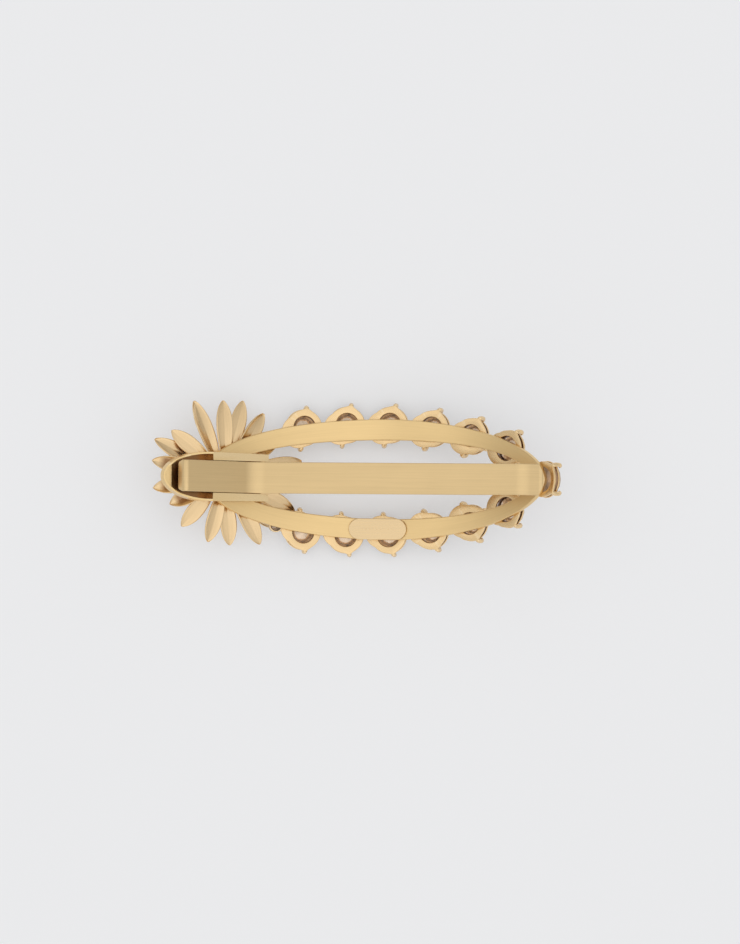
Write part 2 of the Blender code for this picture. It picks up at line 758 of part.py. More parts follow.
def make_petal(number, direction, length, twist):
    front = number % 2 == 0
    level = FLOWER_DISC_THICKNESS / 2 + PETAL_THICKNESS / 2 + SEAT_GAP
    lift = -level if front else level
    reach = length * MM - PETAL_ROOT_R
    shares = [i / PETAL_STEPS for i in range(PETAL_STEPS)] + [0.985]
    bm = bmesh.new()
    loops = [petal_section(share, reach, lift, math.radians(twist)) for share in shares]
    loops_to_solid(bm, loops, close_ends=True)
    petal = mesh_object(f"petal_{number:02d}", bm, gold(f"petal_{number:02d}_gold", 0.33), 50)
    petal.matrix_local = flower_frame() @ Matrix.Rotation(math.radians(direction), 4, "Z")


def make_flower(setting_mesh, crystal_mesh):
    make_flower_disc()
    for number, (direction, length, twist) in enumerate(PETALS, 1):
        make_petal(number, direction, length, twist)
    petals_front = FLOWER_DISC_THICKNESS / 2 + PETAL_THICKNESS + 2 * SEAT_GAP
    place = flower_frame() @ Matrix.Translation((0, 0, -petals_front)) @ Matrix.Rotation(math.pi, 4, "X")
    setting = object_of("flower_setting", setting_mesh.copy(), gold("flower_setting_gold", 0.22))
    crystal = object_of("flower_crystal", crystal_mesh.copy(), crystal_material("flower_crystal_glass"))
    setting.matrix_local = place
    crystal.matrix_local = place


def rest_on_origin(root):
    """Moves everything so that the origin is the bottom centre of the bounding box."""
    bpy.context.view_layer.update()
    depsgraph = bpy.context.evaluated_depsgraph_get()
    corners = []
    for obj in bpy.data.objects:
        if obj.type in {"MESH", "CURVE"} and not obj.hide_render:
            evaluated = obj.evaluated_get(depsgraph)
            mesh = evaluated.to_mesh()
            corners += [evaluated.matrix_world @ v.co for v in mesh.vertices]
            evaluated.to_mesh_clear()
    low = [min(c[i] for c in corners) for i in range(3)]
    high = [max(c[i] for c in corners) for i in range(3)]
    root.location = (-(low[0] + high[0]) / 2, -(low[1] + high[1]) / 2, -low[2])


def main():
    start_empty_scene()
    root = empty("barrette", (0, 0, 0))
    pivot = empty("arm_pivot", pin_centre(), root)
    make_frame_band()
    setting_mesh = make_setting_mesh(0.0, BASE_HOLE_R, 0.0)
    crystal_mesh = make_crystal_mesh()
    make_settings(setting_mesh, crystal_mesh)
    make_filler(crystal_mesh)
    make_plaque()
    make_housing()
    make_pin()
    make_arm(pivot)
    make_spring()
    make_flower(setting_mesh, crystal_mesh)
    rest_on_origin(root)


main()
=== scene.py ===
"""Looks of the barrette: fine metal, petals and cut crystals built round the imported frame. Metres."""

import json
import math

import bmesh
import bpy
from mathutils import Matrix, Vector


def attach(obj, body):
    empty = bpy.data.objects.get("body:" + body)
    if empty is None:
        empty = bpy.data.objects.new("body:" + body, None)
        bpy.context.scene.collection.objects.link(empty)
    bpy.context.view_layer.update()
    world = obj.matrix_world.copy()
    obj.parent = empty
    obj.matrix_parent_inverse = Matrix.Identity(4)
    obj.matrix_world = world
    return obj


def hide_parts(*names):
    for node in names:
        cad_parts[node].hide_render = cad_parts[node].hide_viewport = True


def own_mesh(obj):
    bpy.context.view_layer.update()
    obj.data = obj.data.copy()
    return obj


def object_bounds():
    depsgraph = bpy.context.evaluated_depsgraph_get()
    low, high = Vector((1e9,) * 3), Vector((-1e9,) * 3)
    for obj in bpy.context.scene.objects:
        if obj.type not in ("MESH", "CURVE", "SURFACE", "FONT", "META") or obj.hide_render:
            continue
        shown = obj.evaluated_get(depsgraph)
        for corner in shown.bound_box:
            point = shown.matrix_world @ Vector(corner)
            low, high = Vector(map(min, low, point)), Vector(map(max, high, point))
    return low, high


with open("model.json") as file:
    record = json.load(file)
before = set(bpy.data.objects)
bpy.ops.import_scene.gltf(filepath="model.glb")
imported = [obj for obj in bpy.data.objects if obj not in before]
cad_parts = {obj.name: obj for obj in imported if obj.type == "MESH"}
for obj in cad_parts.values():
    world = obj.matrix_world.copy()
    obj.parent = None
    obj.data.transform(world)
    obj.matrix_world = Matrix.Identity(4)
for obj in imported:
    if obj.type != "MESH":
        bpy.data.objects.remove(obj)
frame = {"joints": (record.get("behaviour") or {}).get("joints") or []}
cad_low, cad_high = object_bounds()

MM = 0.001

# The design's own frame: places are (s, t, n) on a bow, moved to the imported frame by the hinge's place.
BOW_RADIUS = 53.7 * MM
RING_CENTRE_S = 8.2 * MM
RING_LEFT = 42.1 * MM
RING_RIGHT = 39.0 * MM
RING_HALF_WIDTH = 13.1 * MM
RING_TIP_POWER = 1.76
BAND_WIDTH = 4.55 * MM
BAND_THICKNESS = 1.1 * MM
BAND_CORNER = 0.2 * MM
BAND_CROWN = 0.10 * MM
SEAT_GAP = 0.06 * MM

HOUSING_TILT = math.radians(28.35)
HOUSING_HALF_SPAN = math.radians(7.85)
HOUSING_NOSE = 18.36 * MM
HOUSING_TAIL = 5.95 * MM
CLASP_Y = -0.2 * MM
HOUSING_HALF_WIDTH = 5.3 * MM
HOUSING_TAIL_HALF_WIDTH = 5.05 * MM
HOUSING_FLOOR = 0.6 * MM
FLOOR_STEP = -16.1 * MM
FLOOR_RISE = 0.38 * MM
NOSE_LENGTH = 10.2 * MM
NOSE_WALL = 0.42 * MM
NOSE_HEIGHT = 1.5 * MM
NOSE_STEPS = 28
CHEEK_START = 7.6 * MM
CHEEK_INNER_V = 3.52 * MM
CHEEK_HEIGHT = 4.1 * MM
CHEEK_STEP = 0.05 * MM
HOUSING_EDGE = 0.11 * MM

PIN_HEIGHT = 2.1 * MM
PIN_R = 0.7 * MM
PIN_LENGTH = 10.0 * MM
PIN_CLEARANCE = 0.06 * MM
PIN_DOME = 0.18 * MM
PIN_END_SHARE = 0.25
EAR_R = 1.36 * MM
EAR_THICKNESS = 0.75 * MM
EAR_OUTER = 3.3 * MM

ARM_HALF_WIDTH = 3.4 * MM
ARM_THICKNESS = 0.8 * MM
ARM_CROWN = 0.20 * MM
ARM_CORNER = 0.16 * MM
ARM_OVER_PIN = 1.8 * MM
HANDLE_TILT = -35.0
HANDLE_LENGTH = 14.76 * MM
HANDLE_LIP_TURN = 95.0
HANDLE_LIP_RADIUS = 0.88 * MM
HANDLE_LIP = 1.4 * MM
HANDLE_LIP_TAPER = 0.45 * MM
HANDLE_CORNER = 0.22 * MM
ELBOW_RADIUS = 5.9 * MM
ARM_TILT = 11.15
ARM_END_TILT = 16.5
ARM_LENGTH = 42.6 * MM
ARM_END_BEND = 4.0 * MM
ARM_END_LENGTH = 8.5 * MM
TIP_TILT = -20.0
TIP_BEND = 3.4 * MM
TIP_LENGTH = 3.25 * MM
TIP_END = 0.12 * MM

SPRING_WIRE_R = 0.2 * MM
SPRING_COIL_R = 1.0 * MM
SPRING_TURNS = 5
SPRING_PITCH = 0.55 * MM
SPRING_LEG = 6.5 * MM

PLAQUE_LENGTH = 12.6 * MM
PLAQUE_WIDTH = 4.6 * MM
PLAQUE_THICKNESS = 0.5 * MM
PLAQUE_EDGE = 0.14 * MM
PLAQUE_S = 5.75 * MM
PLAQUE_T = -10.75 * MM
DOT_COUNT = 9
DOT_STEP = 0.8 * MM
DOT_R = 0.17 * MM
DOT_DEPTH = 0.12 * MM

FLOWER_CENTRE = Vector((-27.85, 0.2, 4.2)) * MM
FLOWER_TILT = math.radians(20)
FLOWER_SETTING_DROP = 1.22 * MM


# Mesh helpers


def grid_mesh(name, rows, us, vs, close_rows=False):
    """A tube of closed sections with a UV map in millimetres: us along the rows and vs round a section."""
    bm = bmesh.new()
    uv = bm.loops.layers.uv.new("UVMap")
    verts = [[bm.verts.new(p) for p in row] for row in rows]
    count = len(rows[0])
    spans = len(rows) if close_rows else len(rows) - 1
    for i in range(spans):
        a, b = verts[i], verts[(i + 1) % len(rows)]
        for j in range(count):
            k = (j + 1) % count
            face = bm.faces.new((a[j], a[k], b[k], b[j]))
            corners = ((us[i], vs[j]), (us[i], vs[j + 1]), (us[i + 1], vs[j + 1]), (us[i + 1], vs[j]))
            for loop, place in zip(face.loops, corners):
                loop[uv].uv = (place[0] / MM, place[1] / MM)
    if not close_rows:
        bm.faces.new(verts[0][::-1])
        bm.faces.new(verts[-1])
    bmesh.ops.recalc_face_normals(bm, faces=bm.faces)
    mesh = bpy.data.meshes.new(name)
    bm.to_mesh(mesh)
    bm.free()
    mesh.shade_smooth()
    return mesh


def distances(points, closed=False):
    """Running length along a row of points."""
    total = [0.0]
    ends = list(zip(points, points[1:]))
    if closed:
        ends.append((points[-1], points[0]))
    for a, b in ends:
        total.append(total[-1] + (Vector(b) - Vector(a)).length)
    return total


def rounded_box(left, right, low, high, radius, steps=4):
    """A rectangle with round corners, as (across, up) points."""
    points = []
    corners = ((right, high, 0), (left, high, 1), (left, low, 2), (right, low, 3))
    for x, y, quarter in corners:
        cx = x - math.copysign(radius, x - (left + right) / 2)
        cy = y - math.copysign(radius, y - (low + high) / 2)
        for i in range(steps + 1):
            angle = math.pi / 2 * (quarter + i / steps)
            points.append((cx + radius * math.cos(angle), cy + radius * math.sin(angle)))
    return points


def circle(radius, height, segments, turn):
    points = []
    for i in range(segments):
        angle = 2 * math.pi * i / segments + turn
        points.append(Vector((radius * math.cos(angle), radius * math.sin(angle), height)))
    return points


def turned_mesh(name, profile, segments):
    """A closed (radius, height) profile turned about Z."""
    rows = []
    for i in range(segments):
        angle = 2 * math.pi * i / segments
        rows.append([Vector((r * math.cos(angle), r * math.sin(angle), z)) for r, z in profile])
    us = [2 * math.pi * profile[0][0] * i / segments for i in range(segments + 1)]
    return grid_mesh(name, rows, us, distances([(*p, 0.0) for p in profile], closed=True), close_rows=True)


def tube_mesh(name, path, radii, segments=12):
    """A round wire along a path, with its own radius at each point."""
    rows = []
    side = Vector((0, 1, 0))
    for i, point in enumerate(path):
        ahead = path[min(i + 1, len(path) - 1)] - path[max(i - 1, 0)]
        ahead.normalize()
        side = (side - ahead * side.dot(ahead)).normalized()
        up = ahead.cross(side)
        row = []
        for k in range(segments):
            angle = 2 * math.pi * k / segments
            row.append(point + (side * math.cos(angle) + up * math.sin(angle)) * radii[i])
        rows.append(row)
    vs = [2 * math.pi * radii[0] * k / segments for k in range(segments + 1)]
    return grid_mesh(name, rows, distances(path), vs)


def join_meshes(name, meshes):
    bm = bmesh.new()
    for mesh in meshes:
        bm.from_mesh(mesh)
        bpy.data.meshes.remove(mesh)
    joined = bpy.data.meshes.new(name)
    bm.to_mesh(joined)
    bm.free()
    joined.shade_smooth()
    return joined


def new_object(name, mesh, place=None):
    obj = bpy.data.objects.new(name, mesh)
    bpy.context.scene.collection.objects.link(obj)
    if place is not None:
        obj.matrix_world = place
    return obj


def crisp(obj, angle=35):
    """Shades a piece smooth, but keeps flat faces flat beside their rounded edges."""
    obj.data.shade_smooth()
    obj.data.set_sharp_from_angle(angle=math.radians(angle))
    modifier = obj.modifiers.new("flat_faces", "WEIGHTED_NORMAL")
    modifier.keep_sharp = True
    modifier.weight = 80


def rounded(obj, width, segments, angle):
    modifier = obj.modifiers.new("round_edges", "BEVEL")
    modifier.width = width
    modifier.segments = segments
    modifier.limit_method = "ANGLE"
    modifier.angle_limit = math.radians(angle)
    modifier.harden_normals = False


def boolean(obj, tool, operation):
    """Joins or cuts obj with tool at once, then drops the tool."""
    modifier = obj.modifiers.new(operation, "BOOLEAN")
    modifier.operation = operation
    modifier.solver = "EXACT"
    modifier.object = tool
    bpy.context.view_layer.update()
    made = bpy.data.meshes.new_from_object(obj.evaluated_get(bpy.context.evaluated_depsgraph_get()))
    obj.modifiers.clear()
    obj.data = made
    bpy.data.objects.remove(tool, do_unlink=True)


# Where things are


def bow_point(s, t, n=0.0):
    """A place s along the bow, t across it and n above its hollow side."""
    angle = s / BOW_RADIUS
    radius = BOW_RADIUS - n
    return Vector((radius * math.sin(angle), t, BOW_RADIUS - radius * math.cos(angle)))


def clasp_frame():
    """The housing's axes: X along it, Z out of its open side, and its floor resting on the bow."""
    drop = BOW_RADIUS * math.cos(HOUSING_HALF_SPAN) - SEAT_GAP
    up = Vector((math.sin(HOUSING_TILT), 0.0, math.cos(HOUSING_TILT)))
    foot = Vector((0.0, CLASP_Y, BOW_RADIUS)) - up * drop
    return Matrix.Translation(foot) @ Matrix.Rotation(HOUSING_TILT, 4, "Y")


def flower_frame():
    return Matrix.Translation(FLOWER_CENTRE) @ Matrix.Rotation(FLOWER_TILT, 4, "Y")


PIN = Vector(frame["joints"][0]["pos_m"])
TO_ROW = Matrix.Translation(PIN - clasp_frame() @ Vector((0, 0, PIN_HEIGHT)))


def oval_point(angle, left, right, half_width, power):
    """A point of an oval: half an ellipse at the clasp, and a curve of its own power at the tip."""
    exponent = 1.0
    reach = left
    if math.cos(angle) > 0:
        exponent = 2 / power
        reach = right
    s = math.copysign(abs(math.cos(angle)) ** exponent, math.cos(angle)) * reach
    t = math.copysign(abs(math.sin(angle)) ** exponent, math.sin(angle)) * half_width
    return RING_CENTRE_S + s, t


def outer_reach(t):
    """How far along the bow the band's outer edge lies at the tip, at t from the middle."""
    share = abs(t) / RING_HALF_WIDTH
    return RING_CENTRE_S + RING_RIGHT * (1 - share**RING_TIP_POWER) ** (1 / RING_TIP_POWER)


# Materials

PALE_GOLD = (0.83, 0.60, 0.295, 1.0)
ARM_GOLD = (0.755, 0.555, 0.29, 1.0)
SETTING_GOLD = (0.87, 0.63, 0.34, 1.0)
PETAL_GOLD = (0.82, 0.60, 0.34, 1.0)
PLAQUE_GOLD = (0.79, 0.59, 0.34, 1.0)
STEEL = (0.5, 0.46, 0.40, 1.0)
POLISHED = (1.0, 0.88, 0.66, 1.0)
# Painted shade: the dark brown laid into corners, recesses and masked hollows, how far the occlusion that
# finds them reaches, and the hollows' strength.
SHADE_BROWN = (0.20, 0.07, 0.02, 1.0)
SHADE_REACH = 3.0 * MM
HOLLOW_SHADE = 0.85
# Where the painted shade on the housing's pocket floor begins and where it is full, along the housing.
POCKET_SHADE_START = -15.7 * MM
POCKET_SHADE_FULL = -14.9 * MM
CLEAR = (0.95, 0.88, 0.82, 1.0)
FOIL = (0.90, 0.69, 0.50, 1.0)
# Painted shade: the foil's near-black colour out towards the girdle.
FOIL_RIM_SHADE = (0.10, 0.035, 0.012, 1.0)
GIRDLE_SHARE = 0.61


class Nodes:
    """A short way to write a node material."""

    def __init__(self, name):
        self.material = bpy.data.materials.new(name)
        self.material.use_nodes = True
        self.tree = self.material.node_tree
        self.shader = self.tree.nodes["Principled BSDF"]

    def add(self, kind, inputs=(), **settings):
        node = self.tree.nodes.new(kind)
        for key, value in settings.items():
            setattr(node, key, value)
        for key, value in dict(inputs).items():
            self.put(node.inputs[key], value)
        return node

    def put(self, socket, value):
        if isinstance(value, bpy.types.NodeSocket):
            self.tree.links.new(value, socket)
        else:
            socket.default_value = value

    def set(self, **values):
        for key, value in values.items():
            self.put(self.shader.inputs[key.replace("_", " ")], value)

    def ramp(self, factor, stops):
        node = self.add("ShaderNodeValToRGB", {"Fac": factor})
        ramp = node.color_ramp
        while len(ramp.elements) < len(stops):
            ramp.elements.new(0.5)
        for element, (place, colour) in zip(ramp.elements, stops):
            element.position = place
            element.color = colour
        return node.outputs["Color"]

    def maths(self, operation, a, b):
        return self.add("ShaderNodeMath", {0: a, 1: b}, operation=operation).outputs[0]

    def mix(self, factor, a, b, blend="MIX"):
        node = self.add("ShaderNodeMix", data_type="RGBA", blend_type=blend)
        self.put(node.inputs[0], factor)
        self.put(node.inputs[6], a)
        self.put(node.inputs[7], b)
        return node.outputs[2]

    def noise(self, vector, scale, detail=3.0, roughness=0.5):
        inputs = {"Vector": vector, "Scale": scale, "Detail": detail, "Roughness": roughness}
        return self.add("ShaderNodeTexNoise", inputs).outputs["Fac"]

    def mapped(self, source, scale):
        return self.add("ShaderNodeMapping", {"Vector": source, "Scale": scale}).outputs["Vector"]

    def split(self, vector):
        return self.add("ShaderNodeSeparateXYZ", {0: vector}).outputs

    def rise(self, value, start, end):
        """Goes from 0 to 1 as value goes from start to end."""
        return self.add("ShaderNodeMapRange", {0: value, 1: start, 2: end}).outputs[0]

    def vector_maths(self, operation, a, b=None, output=0):
        inputs = {0: a} if b is None else {0: a, 1: b}
        return self.add("ShaderNodeVectorMath", inputs, operation=operation).outputs[output]


def grey(value):
    return (value, value, value, 1.0)


def shaded(colour, factor):
    """The colour made darker or lighter by a factor, with no channel above 1."""
    return tuple(min(1.0, channel * factor) for channel in colour[:3]) + (1.0,)


def pocket_floor_shade(n, coords):
    """How much painted shade a place on the housing gets: its floor below and beside the handle."""
    place = n.split(coords.outputs["Object"])
    past_nose = n.rise(place["X"], POCKET_SHADE_START, POCKET_SHADE_FULL)
    deep = n.rise(place["Z"], 2 * HOUSING_FLOOR, 1.3 * HOUSING_FLOOR)
    level = n.maths("GREATER_THAN", n.split(coords.outputs["Normal"])["Z"], 0.8)
    return n.maths("MULTIPLY", n.maths("MULTIPLY", past_nose, deep), level)


def petal_hollow_shade(n, coords):
    """How much painted shade a place on a petal gets in its hollow, away from its rim, root and tip."""
    place = n.split(coords.outputs["Generated"])
    across = n.maths("ABSOLUTE", n.maths("SUBTRACT", place["Y"], 0.5), 0.0)
    along = ((0.45, grey(0.7)), (0.60, grey(1.0)), (0.80, grey(0.9)), (0.90, grey(0.0)))
    return n.maths("MULTIPLY", n.rise(across, 0.42, 0.22), n.ramp(place["X"], along))


def gold(
    name, colour, roughness, streaks=0.5, streak_scale=(0.04, 4.0), polish=0.0, corner_shade=0.0, hollow=None
):
    """Plated metal: brush lines run along U, edges are polished, and deep corners and masked hollows get
    painted shade.
    """
    n = Nodes(name)
    coords = n.add("ShaderNodeTexCoord")
    uv = coords.outputs["UV"]
    along, over = streak_scale
    broad = n.noise(n.mapped(uv, (along, over * 0.3, 1.0)), 1.0, 2.0)
    fine = n.noise(n.mapped(uv, (along * 2, over, 1.0)), 1.0, 4.0, 0.6)
    hair = n.noise(n.mapped(uv, (along * 5, over * 4, 1.0)), 1.0, 2.0)
    cloud = n.noise(n.mapped(coords.outputs["Object"], (1.0,) * 3), 90.0, 3.0)
    lines = n.maths("ADD", n.maths("MULTIPLY", fine, 0.5), n.maths("MULTIPLY", hair, 0.25))
    lines = n.maths("ADD", lines, n.maths("MULTIPLY", broad, 0.25))
    dark, light = shaded(colour, 1 - 0.14 * streaks), shaded(colour, 1 + 0.10 * streaks)
    base = n.ramp(lines, ((0.34, dark), (0.66, light)))
    base = n.mix(1.0, base, n.ramp(cloud, ((0.35, grey(0.97)), (0.65, grey(1.0)))), "MULTIPLY")
    edge = n.add("ShaderNodeNewGeometry").outputs["Pointiness"]
    worn = n.maths("MULTIPLY", n.ramp(edge, ((0.53, grey(0.0)), (0.60, grey(1.0)))), polish)
    base = n.mix(worn, base, POLISHED)
    rough = n.ramp(lines, ((0.3, grey(roughness * 1.12)), (0.7, grey(roughness * 0.9))))
    rough = n.mix(worn, rough, grey(roughness * 0.6))
    # Painted shade: where ambient occlusion finds a corner or recess, the colour goes towards dark brown.
    if corner_shade:
        openness = n.add("ShaderNodeAmbientOcclusion", {"Distance": SHADE_REACH}, samples=6)
        depth = n.ramp(openness.outputs["AO"], ((0.18, grey(corner_shade)), (0.40, grey(0.0))))
        base = n.mix(depth, base, SHADE_BROWN)
    # Painted shade: the masked hollow is darkened towards the same dark brown.
    if hollow:
        base = n.mix(n.maths("MULTIPLY", hollow(n, coords), HOLLOW_SHADE), base, SHADE_BROWN)
    bump = n.add("ShaderNodeBump", {"Strength": 0.08 * streaks, "Distance": 0.03 * MM, "Height": lines})
    n.set(Base_Color=base, Metallic=1.0, Roughness=rough, Normal=bump.outputs["Normal"])
    return n.material


def foil_rim_shade(n, generated):
    """How much a place on the foil lies out towards the girdle, where painted shade darkens it."""
    centred = n.vector_maths("SUBTRACT", generated, (0.5, 0.5, 0.0))
    flat = n.vector_maths("MULTIPLY", centred, (2.0, 2.0, 0.0))
    out = n.vector_maths("LENGTH", flat, output="Value")
    return n.ramp(out, ((0.65, grey(0.0)), (0.70, grey(1.0))))


def crystal_material(name, tint, foil, rim, mirrored):
    """Clear cut crystal. Its pointed back carries a tinted mirror foil with painted shade towards the
    girdle, and its facets have fine wear.
    """
    n = Nodes(name)
    coords = n.add("ShaderNodeTexCoord")
    wear = n.noise(n.mapped(coords.outputs["Object"], (1.0,) * 3), 900.0, 4.0)
    cloud = n.noise(n.mapped(coords.outputs["Object"], (1.0,) * 3), 420.0, 2.0)
    backed = n.maths("LESS_THAN", n.split(coords.outputs["Generated"])["Z"], GIRDLE_SHARE)
    clear = n.ramp(cloud, ((0.3, shaded(tint, 0.90)), (0.7, tint)))
    mirror = n.ramp(cloud, ((0.35, shaded(foil, 0.72)), (0.6, foil)))
    rough = n.ramp(wear, ((0.45, grey(0.02)), (0.75, grey(0.07))))
    # Painted shade: the foil goes dark towards the girdle, as strongly as rim says.
    dark = n.maths("MULTIPLY", foil_rim_shade(n, coords.outputs["Generated"]), rim)
    mirror = n.mix(dark, mirror, FOIL_RIM_SHADE)
    n.set(
        Base_Color=n.mix(backed, clear, mirror),
        Metallic=n.maths("MULTIPLY", backed, mirrored),
        Roughness=n.mix(backed, rough, grey(0.14)),
        IOR=1.58,
        Transmission_Weight=n.maths("MULTIPLY", n.maths("SUBTRACT", 1.0, backed), 0.95),
        Specular_IOR_Level=0.7,
        Coat_Weight=0.2,
    )
    return n.material


def make_materials():
    """Every look, by name."""
    # Each look's last setting here is the strength of the painted shade in its corners and recesses.
    petal = {"streak_scale": (0.1, 4.0), "polish": 0.4, "corner_shade": 0.7}
    housing = {"streaks": 0.15, "streak_scale": (0.02, 4.0), "polish": 0.2, "corner_shade": 0.72}
    setting = {"streaks": 0.2, "streak_scale": (0.2, 3.0), "polish": 0.2, "corner_shade": 0.5}
    return {
        "band_gold": gold("band_gold", PALE_GOLD, 0.30, streaks=0.4),
        "clasp_gold": gold("clasp_gold", ARM_GOLD, 0.35, streak_scale=(0.025, 4.0)),
        # The housing gets painted shade in its corners and on its pocket floor.
        "housing_gold": gold("housing_gold", PALE_GOLD, 0.26, hollow=pocket_floor_shade, **housing),
        "plaque_gold": gold("plaque_gold", PLAQUE_GOLD, 0.27, streaks=0.12, streak_scale=(0.02, 5.0)),
        "setting_gold": gold("setting_gold", SETTING_GOLD, 0.27, **setting),
        "petal_gold": gold("petal_gold", PETAL_GOLD, 0.22, streaks=0.4, **petal),
        # Petal gold with painted shade in the petal's hollow.
        "hollow_shaded_gold": gold("hollow_shaded_gold", PETAL_GOLD, 0.22, hollow=petal_hollow_shade, **petal),
        "pin_gold": gold("pin_gold", SETTING_GOLD, 0.2, streaks=0.2, polish=0.2),
        "spring_steel": gold("spring_steel", STEEL, 0.28, streaks=0.4, polish=0.2),
        # rim sets the strength of the painted shade at the foil's outer edge.
        "crystal": crystal_material("crystal", CLEAR, FOIL, rim=0.92, mirrored=0.65),
        "open_crystal": crystal_material("open_crystal", CLEAR, FOIL, rim=0.0, mirrored=0.08),
    }


def finish_piece(obj, look, body, nodes):
    """Gives a piece its material and its place in the frame. It stands for its CAD nodes."""
    obj.data.materials.clear()
    obj.data.materials.append(looks[look])
    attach(obj, body)
    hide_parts(*nodes)


# Frame band


def make_band():
    steps = 320
    angles = [2 * math.pi * i / steps for i in range(steps)]
    outer = [oval_point(a, RING_LEFT, RING_RIGHT, RING_HALF_WIDTH, RING_TIP_POWER) for a in angles]
    inner_size = (RING_LEFT - BAND_WIDTH, RING_RIGHT - BAND_WIDTH, RING_HALF_WIDTH - BAND_WIDTH, 2.0)
    inner = [oval_point(a, *inner_size) for a in angles]
    rows = []
    for (so, to), (si, ti) in zip(outer, inner):
        out, inside = Vector((so, to)), Vector((si, ti))
        width = (inside - out).length
        row = []
        for across, n in rounded_box(0.0, width, -BAND_THICKNESS, 0.0, BAND_CORNER):
            place = out.lerp(inside, across / width)
            sag = BAND_CROWN * (2 * across / width - 1) ** 2
            row.append(bow_point(place.x, place.y, n - sag))
        rows.append(row)
    us = distances([r[0] for r in rows], closed=True)
    mesh = grid_mesh("frame_band_fine", rows, us, distances(rows[0], closed=True), close_rows=True)
    band = new_object("band", mesh, TO_ROW)
    crisp(band)
    finish_piece(band, "band_gold", "frame", ["frame_band"])


# Clasp


def nose_outline(inset, steps):
    """A quarter of an ellipse from the cheek to the nose, set in by inset."""
    root = -(HOUSING_NOSE - NOSE_LENGTH)
    points = []
    for i in range(steps + 1):
        angle = math.pi / 2 * i / steps
        u = root - (NOSE_LENGTH - inset) * math.sin(angle)
        points.append((u, (HOUSING_HALF_WIDTH - inset) * math.cos(angle)))
    return points


def wall_height(u):
    """The cheeks are level, and the walls fall from them to the nose."""
    if u >= -CHEEK_START:
        return CHEEK_HEIGHT
    share = (-u - CHEEK_START) / (HOUSING_NOSE - CHEEK_START)
    return CHEEK_HEIGHT + (NOSE_HEIGHT - CHEEK_HEIGHT) * min(1.0, share)


def floor_height(u):
    """The floor of the nose rises towards the pocket below the handle, then steps down into it."""
    if u > FLOOR_STEP:
        return HOUSING_FLOOR
    return HOUSING_FLOOR + FLOOR_RISE * max(0.0, u + HOUSING_NOSE) / (FLOOR_STEP + HOUSING_NOSE)


def housing_outlines():
    """The housing's outer and inner edge seen from above, from one side of its tail to the other."""
    step_u = -CHEEK_START - CHEEK_STEP
    outer = [(HOUSING_TAIL, HOUSING_TAIL_HALF_WIDTH), (-CHEEK_START, HOUSING_HALF_WIDTH)]
    inner = [(HOUSING_TAIL, CHEEK_INNER_V), (-CHEEK_START, CHEEK_INNER_V)]
    outer.append((step_u, HOUSING_HALF_WIDTH))
    inner.append((step_u, HOUSING_HALF_WIDTH - NOSE_WALL))
    outer += nose_outline(0.0, NOSE_STEPS)
    inner += nose_outline(NOSE_WALL, NOSE_STEPS)
    outer += [(u, -v) for u, v in reversed(outer[:-1])]
    inner += [(u, -v) for u, v in reversed(inner[:-1])]
    return outer, inner


def housing_mesh():
    outer, inner = housing_outlines()
    bm = bmesh.new()
    uv = bm.loops.layers.uv.new("UVMap")
    bottom = [bm.verts.new((u, v, 0)) for u, v in outer]
    outer_top = [bm.verts.new((u, v, wall_height(u))) for u, v in outer]
    inner_top = [bm.verts.new((u, v, wall_height(u))) for u, v in inner]
    floor = [bm.verts.new((u, v, floor_height(u))) for u, v in inner]
    edges = (bottom, outer_top, inner_top, floor)
    for i in range(len(outer) - 1):
        for low, high in zip(edges, edges[1:]):
            bm.faces.new((low[i], low[i + 1], high[i + 1], high[i]))
    bm.faces.new(bottom)
    middle = len(floor) // 2
    for i in range(middle - 1):
        bm.faces.new((floor[i], floor[i + 1], floor[-2 - i], floor[-1 - i]))
    bm.faces.new(floor[middle - 1 : middle + 2])
    bm.faces.new([edge[0] for edge in edges] + [edge[-1] for edge in reversed(edges)])
    bmesh.ops.recalc_face_normals(bm, faces=bm.faces)
    for face in bm.faces:
        for loop in face.loops:
            co = loop.vert.co
            loop[uv].uv = (co.x / MM, (co.y + co.z) / MM)
    mesh = bpy.data.meshes.new("housing_fine")
    bm.to_mesh(mesh)
    bm.free()
    mesh.shade_smooth()
    return mesh


def cut_pin_hole(obj, half_width):
    """Cuts the pin's clearance hole right through a piece with the given half width."""
    reach = half_width * 1.2
    ends = [Vector((0, -reach, 0)), Vector((0, reach, 0))]
    bore = tube_mesh("bore", ends, [PIN_R + PIN_CLEARANCE] * 2, 48)
    boolean(obj, new_object("bore", bore, Matrix.Translation(PIN)), "DIFFERENCE")


def make_housing():
    housing = new_object("housing", housing_mesh(), TO_ROW @ clasp_frame())
    rounded(housing, HOUSING_EDGE, segments=3, angle=40)
    cut_pin_hole(housing, HOUSING_HALF_WIDTH)
    crisp(housing)
    finish_piece(housing, "housing_gold", "frame", ["clasp_housing"])


def make_pin():
    """A plain pin whose ends are domed down to a small flat."""
    path, radii = [], []
    for side in (-1, 1):
        for i in range(6):
            share = i / 5 if side < 0 else 1 - i / 5
            path.append(Vector((0, side * (PIN_LENGTH / 2 - PIN_DOME * (1 - share)), 0)))
            radii.append(PIN_R * (PIN_END_SHARE + (1 - PIN_END_SHARE) * math.sin(math.pi / 2 * share)))
    pin = new_object("pin", tube_mesh("pin_fine", path, radii, 40), Matrix.Translation(PIN))
    crisp(pin)
    finish_piece(pin, "pin_gold", "frame", ["hinge_pin"])


def walk(start, heading, legs, turn_step=3):
    """Points along straight and bent legs, each a (length, turn in degrees), as (x, z, heading)."""
    x, z = start
    points = [(x, z, heading)]
    for length, turn in legs:
        steps = max(4, math.ceil(abs(turn) / turn_step))
        for _ in range(steps):
            middle = math.radians(heading + turn / steps / 2)
            x += length / steps * math.cos(middle)
            z += length / steps * math.sin(middle)
            heading += turn / steps
            points.append((x, z, heading))
    return points


